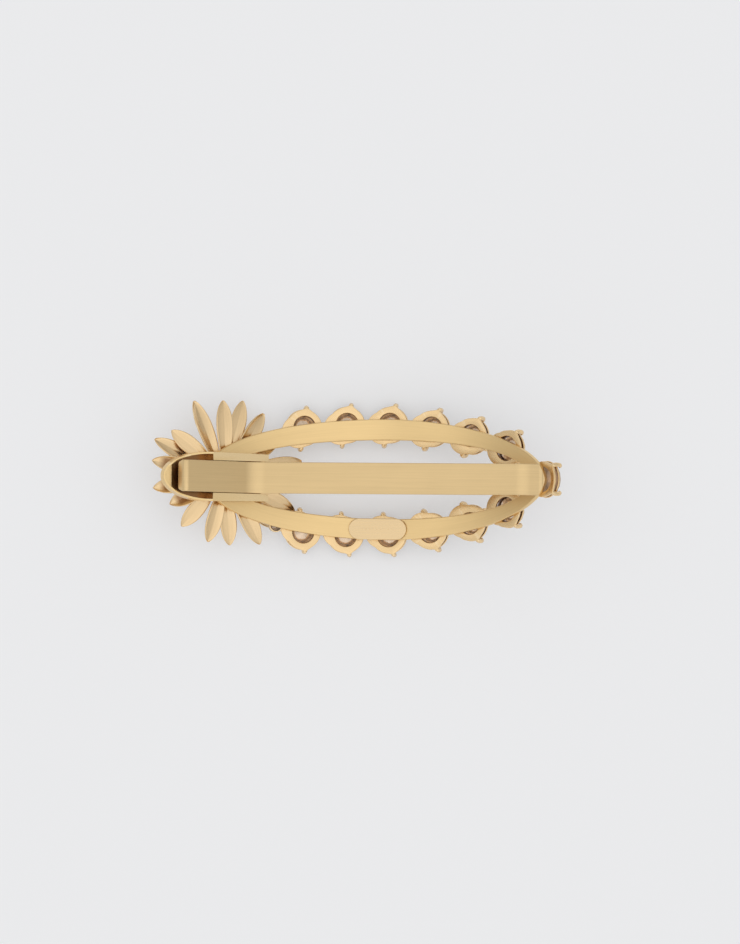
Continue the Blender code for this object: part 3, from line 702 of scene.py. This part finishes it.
def arm_path():
    """The arm's middle line from the handle's lip to the tip, from the pin, as (x, z, heading)."""
    tilt = math.radians(HANDLE_TILT)
    elbow = (-math.sin(tilt) * ARM_OVER_PIN, math.cos(tilt) * ARM_OVER_PIN)
    lip_bend = math.radians(HANDLE_LIP_TURN) * HANDLE_LIP_RADIUS
    handle_legs = ((HANDLE_LENGTH, 0), (lip_bend, HANDLE_LIP_TURN), (HANDLE_LIP, 0))
    handle = walk(elbow, 180 + HANDLE_TILT, handle_legs)
    handle = [(x, z, heading - 180) for x, z, heading in reversed(handle)]
    elbow_turn = ARM_TILT - HANDLE_TILT
    arm_legs = (
        (math.radians(elbow_turn) * ELBOW_RADIUS, elbow_turn),
        (ARM_LENGTH, 0),
        (ARM_END_BEND, ARM_END_TILT - ARM_TILT),
        (ARM_END_LENGTH, 0),
        (TIP_BEND, TIP_TILT - ARM_END_TILT),
        (TIP_LENGTH, 0),
    )
    return handle + walk(elbow, HANDLE_TILT, arm_legs)[1:]


def arm_row(x, z, heading, half_width):
    """One slice across the arm: a strip with round corners, slightly crowned."""
    tilt = math.radians(heading)
    up = Vector((-math.sin(tilt), 0, math.cos(tilt)))
    half = ARM_THICKNESS / 2
    radius = min(ARM_CORNER, half_width * 0.45)
    row = []
    for across, lift in rounded_box(-half_width, half_width, -half, half, radius):
        sag = ARM_CROWN * (across / ARM_HALF_WIDTH) ** 2
        row.append(Vector((x, across, z)) + up * (lift - sag))
    return row


def lip_half_width(inward):
    """The handle's turned-down lip is narrower at its end, to pass between the housing's walls."""
    return ARM_HALF_WIDTH - HANDLE_LIP_TAPER * max(0.0, 1 - inward / HANDLE_LIP)


def along_heading(heading):
    """A step of length 1 in (x, z), for a heading in degrees."""
    return Vector((math.cos(math.radians(heading)), math.sin(math.radians(heading))))


def handle_end_rows(x, z, heading):
    """Slices that round the corners of the handle's lip."""
    rows = []
    for i in range(7):
        angle = math.pi / 2 * i / 6
        inward = HANDLE_CORNER * (1 - math.cos(angle))
        start = Vector((x, z)) + along_heading(heading) * inward
        half_width = lip_half_width(inward) - HANDLE_CORNER * (1 - math.sin(angle))
        rows.append(arm_row(*start, heading, half_width))
    return rows


def tip_rows(x, z, heading):
    """Slices that round the tip to follow the frame's outer edge below it."""
    foreshorten = math.cos(outer_reach(0.0) / BOW_RADIUS)
    rows = []
    for i in range(17):
        half_width = min(ARM_HALF_WIDTH, ARM_HALF_WIDTH * math.cos(math.pi / 2 * i / 16) + TIP_END)
        back = (outer_reach(0.0) - outer_reach(half_width)) * foreshorten
        end = Vector((x, z)) - along_heading(heading) * back
        rows.append(arm_row(*end, heading, half_width))
    return rows


def make_arm():
    """The lever. Its shaped ends take the place of the path's first two and last four points."""
    path = arm_path()
    rows = handle_end_rows(*path[0])
    for x, z, heading in path[2:-4]:
        inward = (Vector((x, z)) - Vector(path[0][:2])).length
        rows.append(arm_row(x, z, heading, lip_half_width(inward)))
    rows += tip_rows(*path[-1])
    us = distances([row[0] for row in rows])
    mesh = grid_mesh("arm_fine", rows, us, distances(rows[8], closed=True))
    arm = new_object("lever", mesh, Matrix.Translation(PIN))
    for side in (1, -1):
        boolean(arm, make_ear(side), "UNION")
    cut_pin_hole(arm, ARM_HALF_WIDTH)
    crisp(arm)
    finish_piece(arm, "clasp_gold", "arm", ["arm"])


def make_ear(side):
    """A lug under the arm: round below the pin and straight up into the handle."""
    tilt = math.radians(HANDLE_TILT)
    outline = []
    for i in range(25):
        angle = math.pi + math.pi * i / 24 + tilt
        outline.append((EAR_R * math.cos(angle), EAR_R * math.sin(angle)))
    for along in (EAR_R, -EAR_R):
        x = along * math.cos(tilt) - ARM_OVER_PIN * math.sin(tilt)
        z = along * math.sin(tilt) + ARM_OVER_PIN * math.cos(tilt)
        outline.append((x, z))
    rows = []
    for y in sorted((side * EAR_OUTER, side * (EAR_OUTER - EAR_THICKNESS))):
        rows.append([Vector((x, y, z)) for x, z in outline])
    mesh = grid_mesh("ear", rows, [0.0, EAR_THICKNESS], distances(rows[0], closed=True))
    return new_object("ear", mesh, Matrix.Translation(PIN))


def make_spring():
    """A coil round the pin. One leg lies along the housing's floor and the other under the handle."""
    floor_tilt, handle_tilt = -HOUSING_TILT, math.radians(HANDLE_TILT)
    start = floor_tilt - math.pi / 2
    sweep = 2 * math.pi * SPRING_TURNS - math.pi + (handle_tilt - floor_tilt)
    steps = 36 * SPRING_TURNS
    coil = []
    for i in range(steps + 1):
        angle = start + sweep * i / steps
        y = SPRING_PITCH * SPRING_TURNS * (i / steps - 0.5)
        coil.append(Vector((SPRING_COIL_R * math.cos(angle), y, SPRING_COIL_R * math.sin(angle))))
    floor_leg = coil[0] - Vector((math.cos(floor_tilt), 0, math.sin(floor_tilt))) * SPRING_LEG
    handle_leg = coil[-1] - Vector((math.cos(handle_tilt), 0, math.sin(handle_tilt))) * SPRING_LEG
    path = [floor_leg, *coil, handle_leg]
    mesh = tube_mesh("spring_fine", path, [SPRING_WIRE_R] * len(path))
    spring = new_object("spring", mesh, Matrix.Translation(PIN))
    finish_piece(spring, "spring_steel", "frame", ["torsion_spring"])
    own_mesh(spring)


def plaque_mesh(low):
    """A plate with half-round ends and a softened top edge, standing on the height low."""
    radius = PLAQUE_WIDTH / 2
    straight = PLAQUE_LENGTH / 2 - radius
    edge, top = PLAQUE_EDGE, low + PLAQUE_THICKNESS
    rows = []
    for inset, height in ((0, low), (0, top - edge), (edge * 0.3, top - edge * 0.3), (edge, top)):
        row = []
        for side in (1, -1):
            for i in range(25):
                angle = math.pi / 2 - math.pi * i / 24
                r = radius - inset
                across = side * (straight + r * math.cos(angle))
                row.append(Vector((across, side * r * math.sin(angle), height)))
        rows.append(row)
    mesh = grid_mesh("plaque_fine", rows, distances([r[0] for r in rows]), distances(rows[0], closed=True))
    uv = mesh.uv_layers[0].data
    for loop in mesh.loops:
        co = mesh.vertices[loop.vertex_index].co
        uv[loop.index].uv = (co.x / MM, co.y / MM)
    return mesh


def make_plaque():
    """The plate on the band, with a row of small pressed dots."""
    low = BOW_RADIUS - math.sqrt(BOW_RADIUS**2 - (PLAQUE_LENGTH / 2) ** 2) + SEAT_GAP
    turn = Matrix.Rotation(-PLAQUE_S / BOW_RADIUS, 4, "Y")
    place = TO_ROW @ Matrix.Translation(bow_point(PLAQUE_S, PLAQUE_T)) @ turn
    plate = new_object("plate", plaque_mesh(low), place)
    for k in range(DOT_COUNT):
        centre = Vector(((k - DOT_COUNT // 2) * DOT_STEP, 0.0, low + PLAQUE_THICKNESS))
        ends = [centre - Vector((0, 0, DOT_DEPTH)), centre + Vector((0, 0, DOT_DEPTH))]
        boolean(plate, new_object("mark", tube_mesh("mark", ends, [DOT_R] * 2), place), "DIFFERENCE")
    crisp(plate, 15)
    finish_piece(plate, "plaque_gold", "frame", ["plaque"])


# Settings and crystals

BASE_RING_R = 3.9 * MM
BASE_HOLE_R = 2.7 * MM
ROW_HOLE_R = 2.4 * MM
ROW_HOLE_SHIFT = 0.2 * MM
BASE_HEIGHT = 0.5 * MM
BASE_CORNER = 0.1 * MM
FLARE_R = 4.45 * MM
LOBE_R = 3.6 * MM
LOBE_SHIFT = 1.6 * MM
LOBE_TURN = math.radians(50)
PRONG_REACH = 0.35 * MM
RIM_R = 4.0 * MM
RIM_INNER_R = 3.65 * MM
RIM_LOW = 1.15 * MM
RIM_HIGH = 1.55 * MM
RIM_CORNER = 0.12 * MM

# A prong's wire, bottom to tip: distance from the setting's axis, height and wire radius, in millimetres.
PRONG_WIRE = (
    (3.60, 0.26, 0.24),
    (3.90, 0.42, 0.46),
    (4.26, 0.52, 0.52),
    (4.42, 1.0, 0.50),
    (4.42, 1.9, 0.46),
    (4.36, 2.25, 0.43),
    (4.18, 2.50, 0.38),
    (3.90, 2.62, 0.32),
    (3.64, 2.60, 0.22),
    (3.54, 2.56, 0.10),
)
PRONG_BOW_START = 3.54
PRONG_BOW_SPAN = 0.8


def prong_mesh(turn, reach=0.0):
    """A bent wire claw: up from the base disc, then over the crystal's edge. Reach bows it outwards."""
    points = []
    for r, z, _ in PRONG_WIRE:
        bow = reach * min(1.0, (r - PRONG_BOW_START) / PRONG_BOW_SPAN)
        points.append(Vector((r * MM + bow, 0, z * MM)))
    mesh = tube_mesh("prong", points, [w * MM for _, _, w in PRONG_WIRE], 16)
    mesh.transform(Matrix.Rotation(turn, 4, "Z"))
    return mesh


def prong_angles(side_turn):
    """Directions of the inner, two side and outer prongs. The side ones can lean to the inner one."""
    return (math.pi / 2, side_turn, math.pi - side_turn, -math.pi / 2)


def base_edge(angle, prongs, lobe_turn):
    """Outer radius of the base disc: a flare to each prong and a wider lobe on the inner side."""
    edge = BASE_RING_R
    flare = math.acos(BASE_RING_R / FLARE_R)
    for prong in prongs:
        away = abs((angle - prong + math.pi) % (2 * math.pi) - math.pi)
        if away < flare:
            edge = max(edge, BASE_RING_R / math.cos(flare - away))
    away = angle - prongs[0] - lobe_turn
    if lobe_turn and math.cos(away) > 0:
        reach = LOBE_SHIFT * math.cos(away) + math.sqrt(LOBE_R**2 - (LOBE_SHIFT * math.sin(away)) ** 2)
        edge = max(edge, reach)
    return edge


def base_mesh(side_turn, lobe_turn, hole_r, hole_shift):
    """The flat disc under a crystal. Its hole can lie nearer to the outer prong."""
    prongs = prong_angles(side_turn)
    rows = []
    steps = 144
    for i in range(steps):
        angle = 2 * math.pi * i / steps
        ray = Vector((math.cos(angle), math.sin(angle), 0))
        outer = ray * base_edge(angle, prongs, lobe_turn)
        inner = ray * hole_r - Vector((0, hole_shift, 0))
        width = (outer - inner).length
        section = rounded_box(0.0, width, 0.0, BASE_HEIGHT, BASE_CORNER)
        rows.append([inner.lerp(outer, r / width) + Vector((0, 0, z)) for r, z in section])
    us = [2 * math.pi * BASE_RING_R * i / steps for i in range(steps + 1)]
    return grid_mesh("base", rows, us, distances(rows[0], closed=True), close_rows=True)


def setting_mesh(side_turn, lobe_turn, hole_r, hole_shift):
    """A base disc, a rim and four prongs. The inner prong of a setting with a lobe is bowed outwards."""
    rim = rounded_box(RIM_INNER_R, RIM_R, RIM_LOW, RIM_HIGH, RIM_CORNER)
    parts = [base_mesh(side_turn, lobe_turn, hole_r, hole_shift), turned_mesh("rim", rim, 96)]
    inner, *others = prong_angles(side_turn)
    parts.append(prong_mesh(inner, PRONG_REACH if lobe_turn else 0.0))
    parts += [prong_mesh(angle) for angle in others]
    return join_meshes("setting_fine", parts)


# Corners of a crystal's facets: radius and height of each ring, in millimetres, and their number.
TABLE = (2.3, 3.0, 8)
STAR = (3.05, 2.58, 8)
GIRDLE_TOP = (3.7, 2.02, 16)
GIRDLE_LOW = (3.7, 1.86, 16)
PAVILION = (1.45, 0.80, 8)
CULET = 0.15 * MM


def crystal_mesh(scale=1.0):
    """A round brilliant with kite, star and girdle facets above and long facets below."""
    bm = bmesh.new()
    half_step = math.pi / 8

    def ring(size, turn=0.0):
        radius, height, count = size
        return [bm.verts.new(p * scale) for p in circle(radius * MM, height * MM, count, turn)]

    table = ring(TABLE, half_step)
    star = ring(STAR)
    top = ring(GIRDLE_TOP)
    girdle = ring(GIRDLE_LOW)
    low = ring(PAVILION, half_step)
    point = bm.verts.new(Vector((0, 0, CULET)) * scale)
    bm.faces.new(table)
    for k in range(8):
        t0, t1 = table[k - 1], table[k]
        s0, s1 = star[k], star[(k + 1) % 8]
        g0, g1, g2 = top[2 * k], top[2 * k + 1], top[(2 * k + 2) % 16]
        bm.faces.new((t0, t1, s0))
        bm.faces.new((t1, s0, g1, s1))
        bm.faces.new((s0, g0, g1))
        bm.faces.new((s1, g1, g2))
        b0, b1, b2 = girdle[2 * k], girdle[2 * k + 1], girdle[(2 * k + 2) % 16]
        bm.faces.new((g0, b0, b1, g1))
        bm.faces.new((g1, b1, b2, g2))
        bm.faces.new((low[k - 1], b0, low[k], point))
        bm.faces.new((b0, b1, low[k]))
        bm.faces.new((b1, b2, low[k]))
    bmesh.ops.recalc_face_normals(bm, faces=bm.faces)
    mesh = bpy.data.meshes.new("crystal_fine")
    bm.to_mesh(mesh)
    bm.free()
    return mesh


SETTINGS_PER_SIDE = 6
SETTING_STEP_S = 9.05 * MM
FIRST_SETTING_S = -10.25 * MM
UPPER_INSET = 0.75 * MM
UPPER_INSET_STEP = 0.22 * MM
LOWER_INSET = 0.35 * MM
LOWER_INSET_STEP = 0.38 * MM
TIP_SETTING_S = 45.6 * MM
PRONG_LEAN = math.radians(16)
SIDE_PRONG_TURN = math.radians(11)
FILLER_S = -16.2 * MM
FILLER_T = -10.2 * MM
FILLER_SCALE = 0.37
CUP_R = 1.5 * MM
CUP_HEIGHT = 1.0 * MM
CUP_SEAT = 0.36
# Section of the ring round the small crystal, as shares of its radius and height.
CUP_PROFILE = (
    (0.86, 0.0),
    (0.98, 0.0),
    (1.0, 0.04),
    (1.0, 0.95),
    (0.98, 1.0),
    (0.95, 1.0),
    (0.93, 0.95),
    (0.93, 0.7),
    (0.84, 0.5),
    (0.84, 0.04),
)


def outer_half_width(s):
    if s < RING_CENTRE_S:
        return RING_HALF_WIDTH * math.sqrt(1 - ((RING_CENTRE_S - s) / RING_LEFT) ** 2)
    share = (s - RING_CENTRE_S) / RING_RIGHT
    return RING_HALF_WIDTH * max(0.0, 1 - share**RING_TIP_POWER) ** (1 / RING_TIP_POWER)


def edge_lean(s):
    """Angle between the outer edge at s and the length of the bow."""
    step = 0.1 * MM
    return math.atan((outer_half_width(s - step) - outer_half_width(s + step)) / (2 * step))


def setting_places():
    """Name, s, t and turn of each setting. The side rows keep an even step along the bow."""
    places = []
    for number in range(SETTINGS_PER_SIDE):
        s = FIRST_SETTING_S + SETTING_STEP_S * number
        edge = outer_half_width(s)
        turn = edge_lean(s) + PRONG_LEAN
        upper = edge - UPPER_INSET - UPPER_INSET_STEP * number
        lower = edge - LOWER_INSET - LOWER_INSET_STEP * number
        places.append((f"upper_{number + 1}", s, upper, turn))
        places.append((f"lower_{number + 1}", s, -lower, math.pi - turn))
    places.append(("tip", TIP_SETTING_S, 0.0, math.pi / 4))
    return places


def front_frame(s, t):
    """Axes on the frame's convex side, with Z facing out."""
    turn = Matrix.Rotation(-s / BOW_RADIUS, 4, "Y") @ Matrix.Rotation(math.pi, 4, "X")
    return Matrix.Translation(bow_point(s, t, -BAND_THICKNESS - SEAT_GAP)) @ turn


def make_settings():
    """Row settings have a lobed base. The last of each row and the tip have a centred, wider hole."""
    settings = {
        "upper": setting_mesh(SIDE_PRONG_TURN, LOBE_TURN, ROW_HOLE_R, ROW_HOLE_SHIFT),
        "lower": setting_mesh(SIDE_PRONG_TURN, -LOBE_TURN, ROW_HOLE_R, ROW_HOLE_SHIFT),
        "upper_6": setting_mesh(SIDE_PRONG_TURN, LOBE_TURN, BASE_HOLE_R, 0.0),
        "lower_6": setting_mesh(SIDE_PRONG_TURN, -LOBE_TURN, BASE_HOLE_R, 0.0),
        "even": setting_mesh(0.0, 0.0, BASE_HOLE_R, 0.0),
    }
    crystal = crystal_mesh()
    for name, s, t, turn in setting_places():
        setting = settings.get(name) or settings.get(name[:5]) or settings["even"]
        place = front_frame(s, t) @ Matrix.Rotation(turn, 4, "Z")
        add_setting(f"setting_{name}", f"crystal_{name}", setting, crystal, place)
    front = Matrix.Translation((0, 0, -FLOWER_SETTING_DROP)) @ Matrix.Rotation(math.pi, 4, "X")
    add_setting("flower_setting", "flower_crystal", settings["even"], crystal, flower_frame() @ front)


def add_setting(setting_node, crystal_node, setting, crystal, place):
    """Adds one setting and its crystal. The metal's place is in its mesh, like a CAD node's."""
    metal_mesh = setting.copy()
    metal_mesh.transform(TO_ROW @ place)
    metal = new_object(f"{setting_node}_metal", metal_mesh)
    crisp(metal)
    finish_piece(metal, "setting_gold", "frame", [setting_node])
    stone = new_object(f"{crystal_node}_stone", crystal.copy(), TO_ROW @ place)
    look = "open_crystal" if crystal_node == "crystal_tip" else "crystal"
    finish_piece(stone, look, "frame", [crystal_node])


def make_filler():
    """The small crystal beside the flower, in a plain open ring with a seat inside."""
    place = front_frame(FILLER_S, FILLER_T)
    cup_mesh = turned_mesh("cup", [(CUP_R * r, CUP_HEIGHT * z) for r, z in CUP_PROFILE], 64)
    cup = new_object("filler_cup", cup_mesh, TO_ROW @ place)
    crisp(cup)
    finish_piece(cup, "setting_gold", "frame", ["filler_setting"])
    lift = Matrix.Translation((0, 0, CUP_HEIGHT * CUP_SEAT - CULET * FILLER_SCALE))
    stone = new_object("filler_stone", crystal_mesh(FILLER_SCALE), TO_ROW @ place @ lift)
    finish_piece(stone, "open_crystal", "frame", ["filler_crystal"])


# Flower

# Each petal's direction in degrees, reach from the flower's centre in millimetres and twist in degrees.
PETALS = (
    (11.3, 18.8, 6),
    (33, 16.4, -6),
    (55.6, 16.8, 8),
    (72.4, 17.4, -4),
    (89.8, 16.5, -4),
    (110.6, 17.4, 16),
    (140.4, 15.2, -6),
    (152.7, 16.9, 14),
    (169.2, 16.4, 8),
    (190.6, 15.5, -8),
    (208.2, 13.5, 6),
    (232.2, 14.0, -6),
    (258, 14.7, -10),
    (280, 15.2, 6),
    (301.7, 17.2, 10),
    (319, 16.4, -6),
    (336.9, 18.4, 8),
    (352, 16.6, -5),
)
PETAL_ROOT_R = 3.0 * MM
PETAL_WIDTH = 3.75 * MM
PETAL_WIDEST = 0.6
PETAL_THICKNESS = 0.7 * MM
PETAL_DROOP = 1.9 * MM
PETAL_RIM = 0.88
PETAL_FOLD = 0.10
PETAL_COLUMNS = 56
DISHES = (0.5, 0.9, 0.3, 0.7, 0.4)
# Petals whose hollows get painted shade.
SHADED_PETALS = (9, 10, 11)
DISC_R = 4.6 * MM
DISC_THICKNESS = 0.8 * MM
DISC_EDGE = 0.15 * MM
POST_X = -1.65 * MM
POST_R = 1.1 * MM
POST_HEIGHT = 2.17 * MM


def petal_half_width(share):
    """Half width at a share of the petal's length: widest past its middle, with a pointed tip."""
    width = 0.34 + 0.66 * math.sin(math.pi / 2 * min(1.0, share / PETAL_WIDEST))
    if share > PETAL_WIDEST:
        width *= (1 - ((share - PETAL_WIDEST) / (1 - PETAL_WIDEST)) ** 2.2) ** 0.7
    return PETAL_WIDTH / 2 * width


def petal_row(share, reach, lift, twist, dish):
    """One slice across a petal: hollow with a raised rim on the back, rounded on the front."""
    half = max(petal_half_width(share), 0.06 * MM)
    droop = PETAL_DROOP * share**2.4
    thickness = PETAL_THICKNESS * (1 - 0.35 * share)
    turn = Matrix.Rotation(twist * share, 3, "X")
    centre = Vector((PETAL_ROOT_R + reach * share, 0, lift - droop))
    row = []
    for i in range(PETAL_COLUMNS):
        angle = 2 * math.pi * i / PETAL_COLUMNS
        side = math.cos(angle)
        up = math.sin(angle)
        if up > 0:
            rim = math.exp(-(((abs(side) - PETAL_RIM) / PETAL_FOLD) ** 2))
            crease = math.exp(-((side / PETAL_FOLD) ** 2))
            z = thickness * (up**0.4 * (0.30 + dish * (side**2 - 0.5)) + 0.10 * rim - 0.06 * crease)
        else:
            z = -thickness * abs(up) ** 0.6 * (0.2 + 0.3 * (1 - side**2))
        row.append(centre + turn @ Vector((0, side * half, z)))
    return row


def make_petal(number, direction, length, twist):
    level = DISC_THICKNESS / 2 + PETAL_THICKNESS / 2 + SEAT_GAP
    lift = -level if number % 2 == 0 else level
    reach = length * MM - PETAL_ROOT_R
    shares = [1 - (1 - i / 40) ** 1.3 for i in range(40)] + [0.995]
    dish = DISHES[number % len(DISHES)]
    rows = [petal_row(share, reach, lift, math.radians(twist), dish) for share in shares]
    us = [reach * share for share in shares]
    mesh = grid_mesh(f"petal_{number:02d}_fine", rows, us, distances(rows[20], closed=True))
    place = flower_frame() @ Matrix.Rotation(math.radians(direction), 4, "Z")
    petal = new_object(f"petal_{number:02d}_leaf", mesh, TO_ROW @ place)
    # The petals listed above get painted shade in their hollows.
    look = "hollow_shaded_gold" if number in SHADED_PETALS else "petal_gold"
    finish_piece(petal, look, "frame", [f"petal_{number:02d}"])


def make_flower():
    half = DISC_THICKNESS / 2
    bevel = half * 0.7
    flat_r = DISC_R - DISC_EDGE
    profile = (
        (0.05 * MM, -half),
        (flat_r, -half),
        (DISC_R, -bevel),
        (DISC_R, bevel),
        (flat_r, half),
        (0.05 * MM, half),
    )
    disc = new_object("flower_plate", turned_mesh("disc", profile, 96), TO_ROW @ flower_frame())
    ends = [Vector((POST_X, 0, 0)), Vector((POST_X, 0, POST_HEIGHT))]
    post = tube_mesh("post", ends, [POST_R] * 2, 40)
    boolean(disc, new_object("post", post, TO_ROW @ flower_frame()), "UNION")
    crisp(disc)
    finish_piece(disc, "petal_gold", "frame", ["flower_disc"])
    for number, (direction, length, twist) in enumerate(PETALS, 1):
        make_petal(number, direction, length, twist)


# Studio

FLOOR_SIZE = 4.0
FLOOR_GAP = 0.2 * MM
FLOOR_GLOW = 0.36
SKY = ((0.0, 0.54), (0.26, 0.66), (0.5, 0.75), (0.72, 0.83), (0.9, 0.93), (1.0, 1.0))
SKY_STRENGTH = 0.99
SKY_TILT = 0.24
CAMERA_LENS = 1056
CAMERA_PITCH = math.radians(1.8)
CAMERA_ROLL = math.radians(0.75)
CAMERA_DISTANCE = 6.0
CAMERA_TARGET = Vector((3.9, 1.5, 4.0)) * MM


def make_floor():
    mesh = bpy.data.meshes.new("floor")
    corners = [(x * FLOOR_SIZE, y * FLOOR_SIZE, 0) for x, y in ((-1, -1), (1, -1), (1, 1), (-1, 1))]
    mesh.from_pydata(corners, [], [(0, 1, 2, 3)])
    floor = new_object("floor", mesh, Matrix.Translation((0, 0, cad_low.z - FLOOR_GAP)))
    n = Nodes("floor")
    n.set(Base_Color=(0.53, 0.53, 0.535, 1.0), Roughness=0.9, Emission_Color=(0.97, 0.98, 1.0, 1.0))
    n.set(Emission_Strength=FLOOR_GLOW)
    mesh.materials.append(n.material)


def make_world():
    """A soft sky, brightest overhead and a little brighter towards -Y."""
    world = bpy.data.worlds.new("studio")
    bpy.context.scene.world = world
    world.use_nodes = True
    tree = world.node_tree
    background = tree.nodes["Background"]
    coords = tree.nodes.new("ShaderNodeTexCoord")
    split = tree.nodes.new("ShaderNodeSeparateXYZ")
    tree.links.new(coords.outputs["Generated"], split.inputs[0])
    ramp = tree.nodes.new("ShaderNodeValToRGB")
    while len(ramp.color_ramp.elements) < len(SKY):
        ramp.color_ramp.elements.new(0.5)
    for element, (place, value) in zip(ramp.color_ramp.elements, SKY):
        element.position = place
        element.color = grey(value)
    tree.links.new(split.outputs["Z"], ramp.inputs["Fac"])
    tree.links.new(ramp.outputs["Color"], background.inputs["Color"])
    tilt = tree.nodes.new("ShaderNodeMath")
    tilt.operation = "MULTIPLY_ADD"
    tree.links.new(split.outputs["Y"], tilt.inputs[0])
    tilt.inputs[1].default_value = -SKY_TILT * SKY_STRENGTH
    tilt.inputs[2].default_value = SKY_STRENGTH
    tree.links.new(tilt.outputs[0], background.inputs["Strength"])


def make_light(name, place, target, size, power):
    data = bpy.data.lights.new(name, "AREA")
    data.shape = "RECTANGLE"
    data.size, data.size_y = size
    data.energy = power
    light = bpy.data.objects.new(name, data)
    bpy.context.scene.collection.objects.link(light)
    light.location = place
    light.rotation_euler = (Vector(target) - Vector(place)).to_track_quat("-Z", "Y").to_euler()


def make_camera():
    """A long lens almost straight above, tipped and turned by a degree or two."""
    data = bpy.data.cameras.new("camera")
    data.lens = CAMERA_LENS
    data.sensor_width = 36
    data.clip_end = 30
    camera = bpy.data.objects.new("camera", data)
    bpy.context.scene.collection.objects.link(camera)
    back = Vector((0, -math.sin(CAMERA_PITCH), math.cos(CAMERA_PITCH)))
    turn = Matrix.Rotation(CAMERA_PITCH, 4, "X") @ Matrix.Rotation(CAMERA_ROLL, 4, "Z")
    camera.matrix_world = Matrix.Translation(TO_ROW @ CAMERA_TARGET + back * CAMERA_DISTANCE) @ turn
    bpy.context.scene.camera = camera


looks = make_materials()
make_band()
make_housing()
make_pin()
make_arm()
make_spring()
make_plaque()
make_settings()
make_filler()
make_flower()
make_floor()
make_world()
make_light("key", (0.25, 0.0, 0.95), (0, 0, 0), (1.5, 1.2), 0.7)
make_light("fill", (-0.7, 0.3, 0.7), (0, 0, 0), (0.6, 0.6), 0.3)
make_camera()
bpy.context.scene.view_settings.view_transform = "Standard"
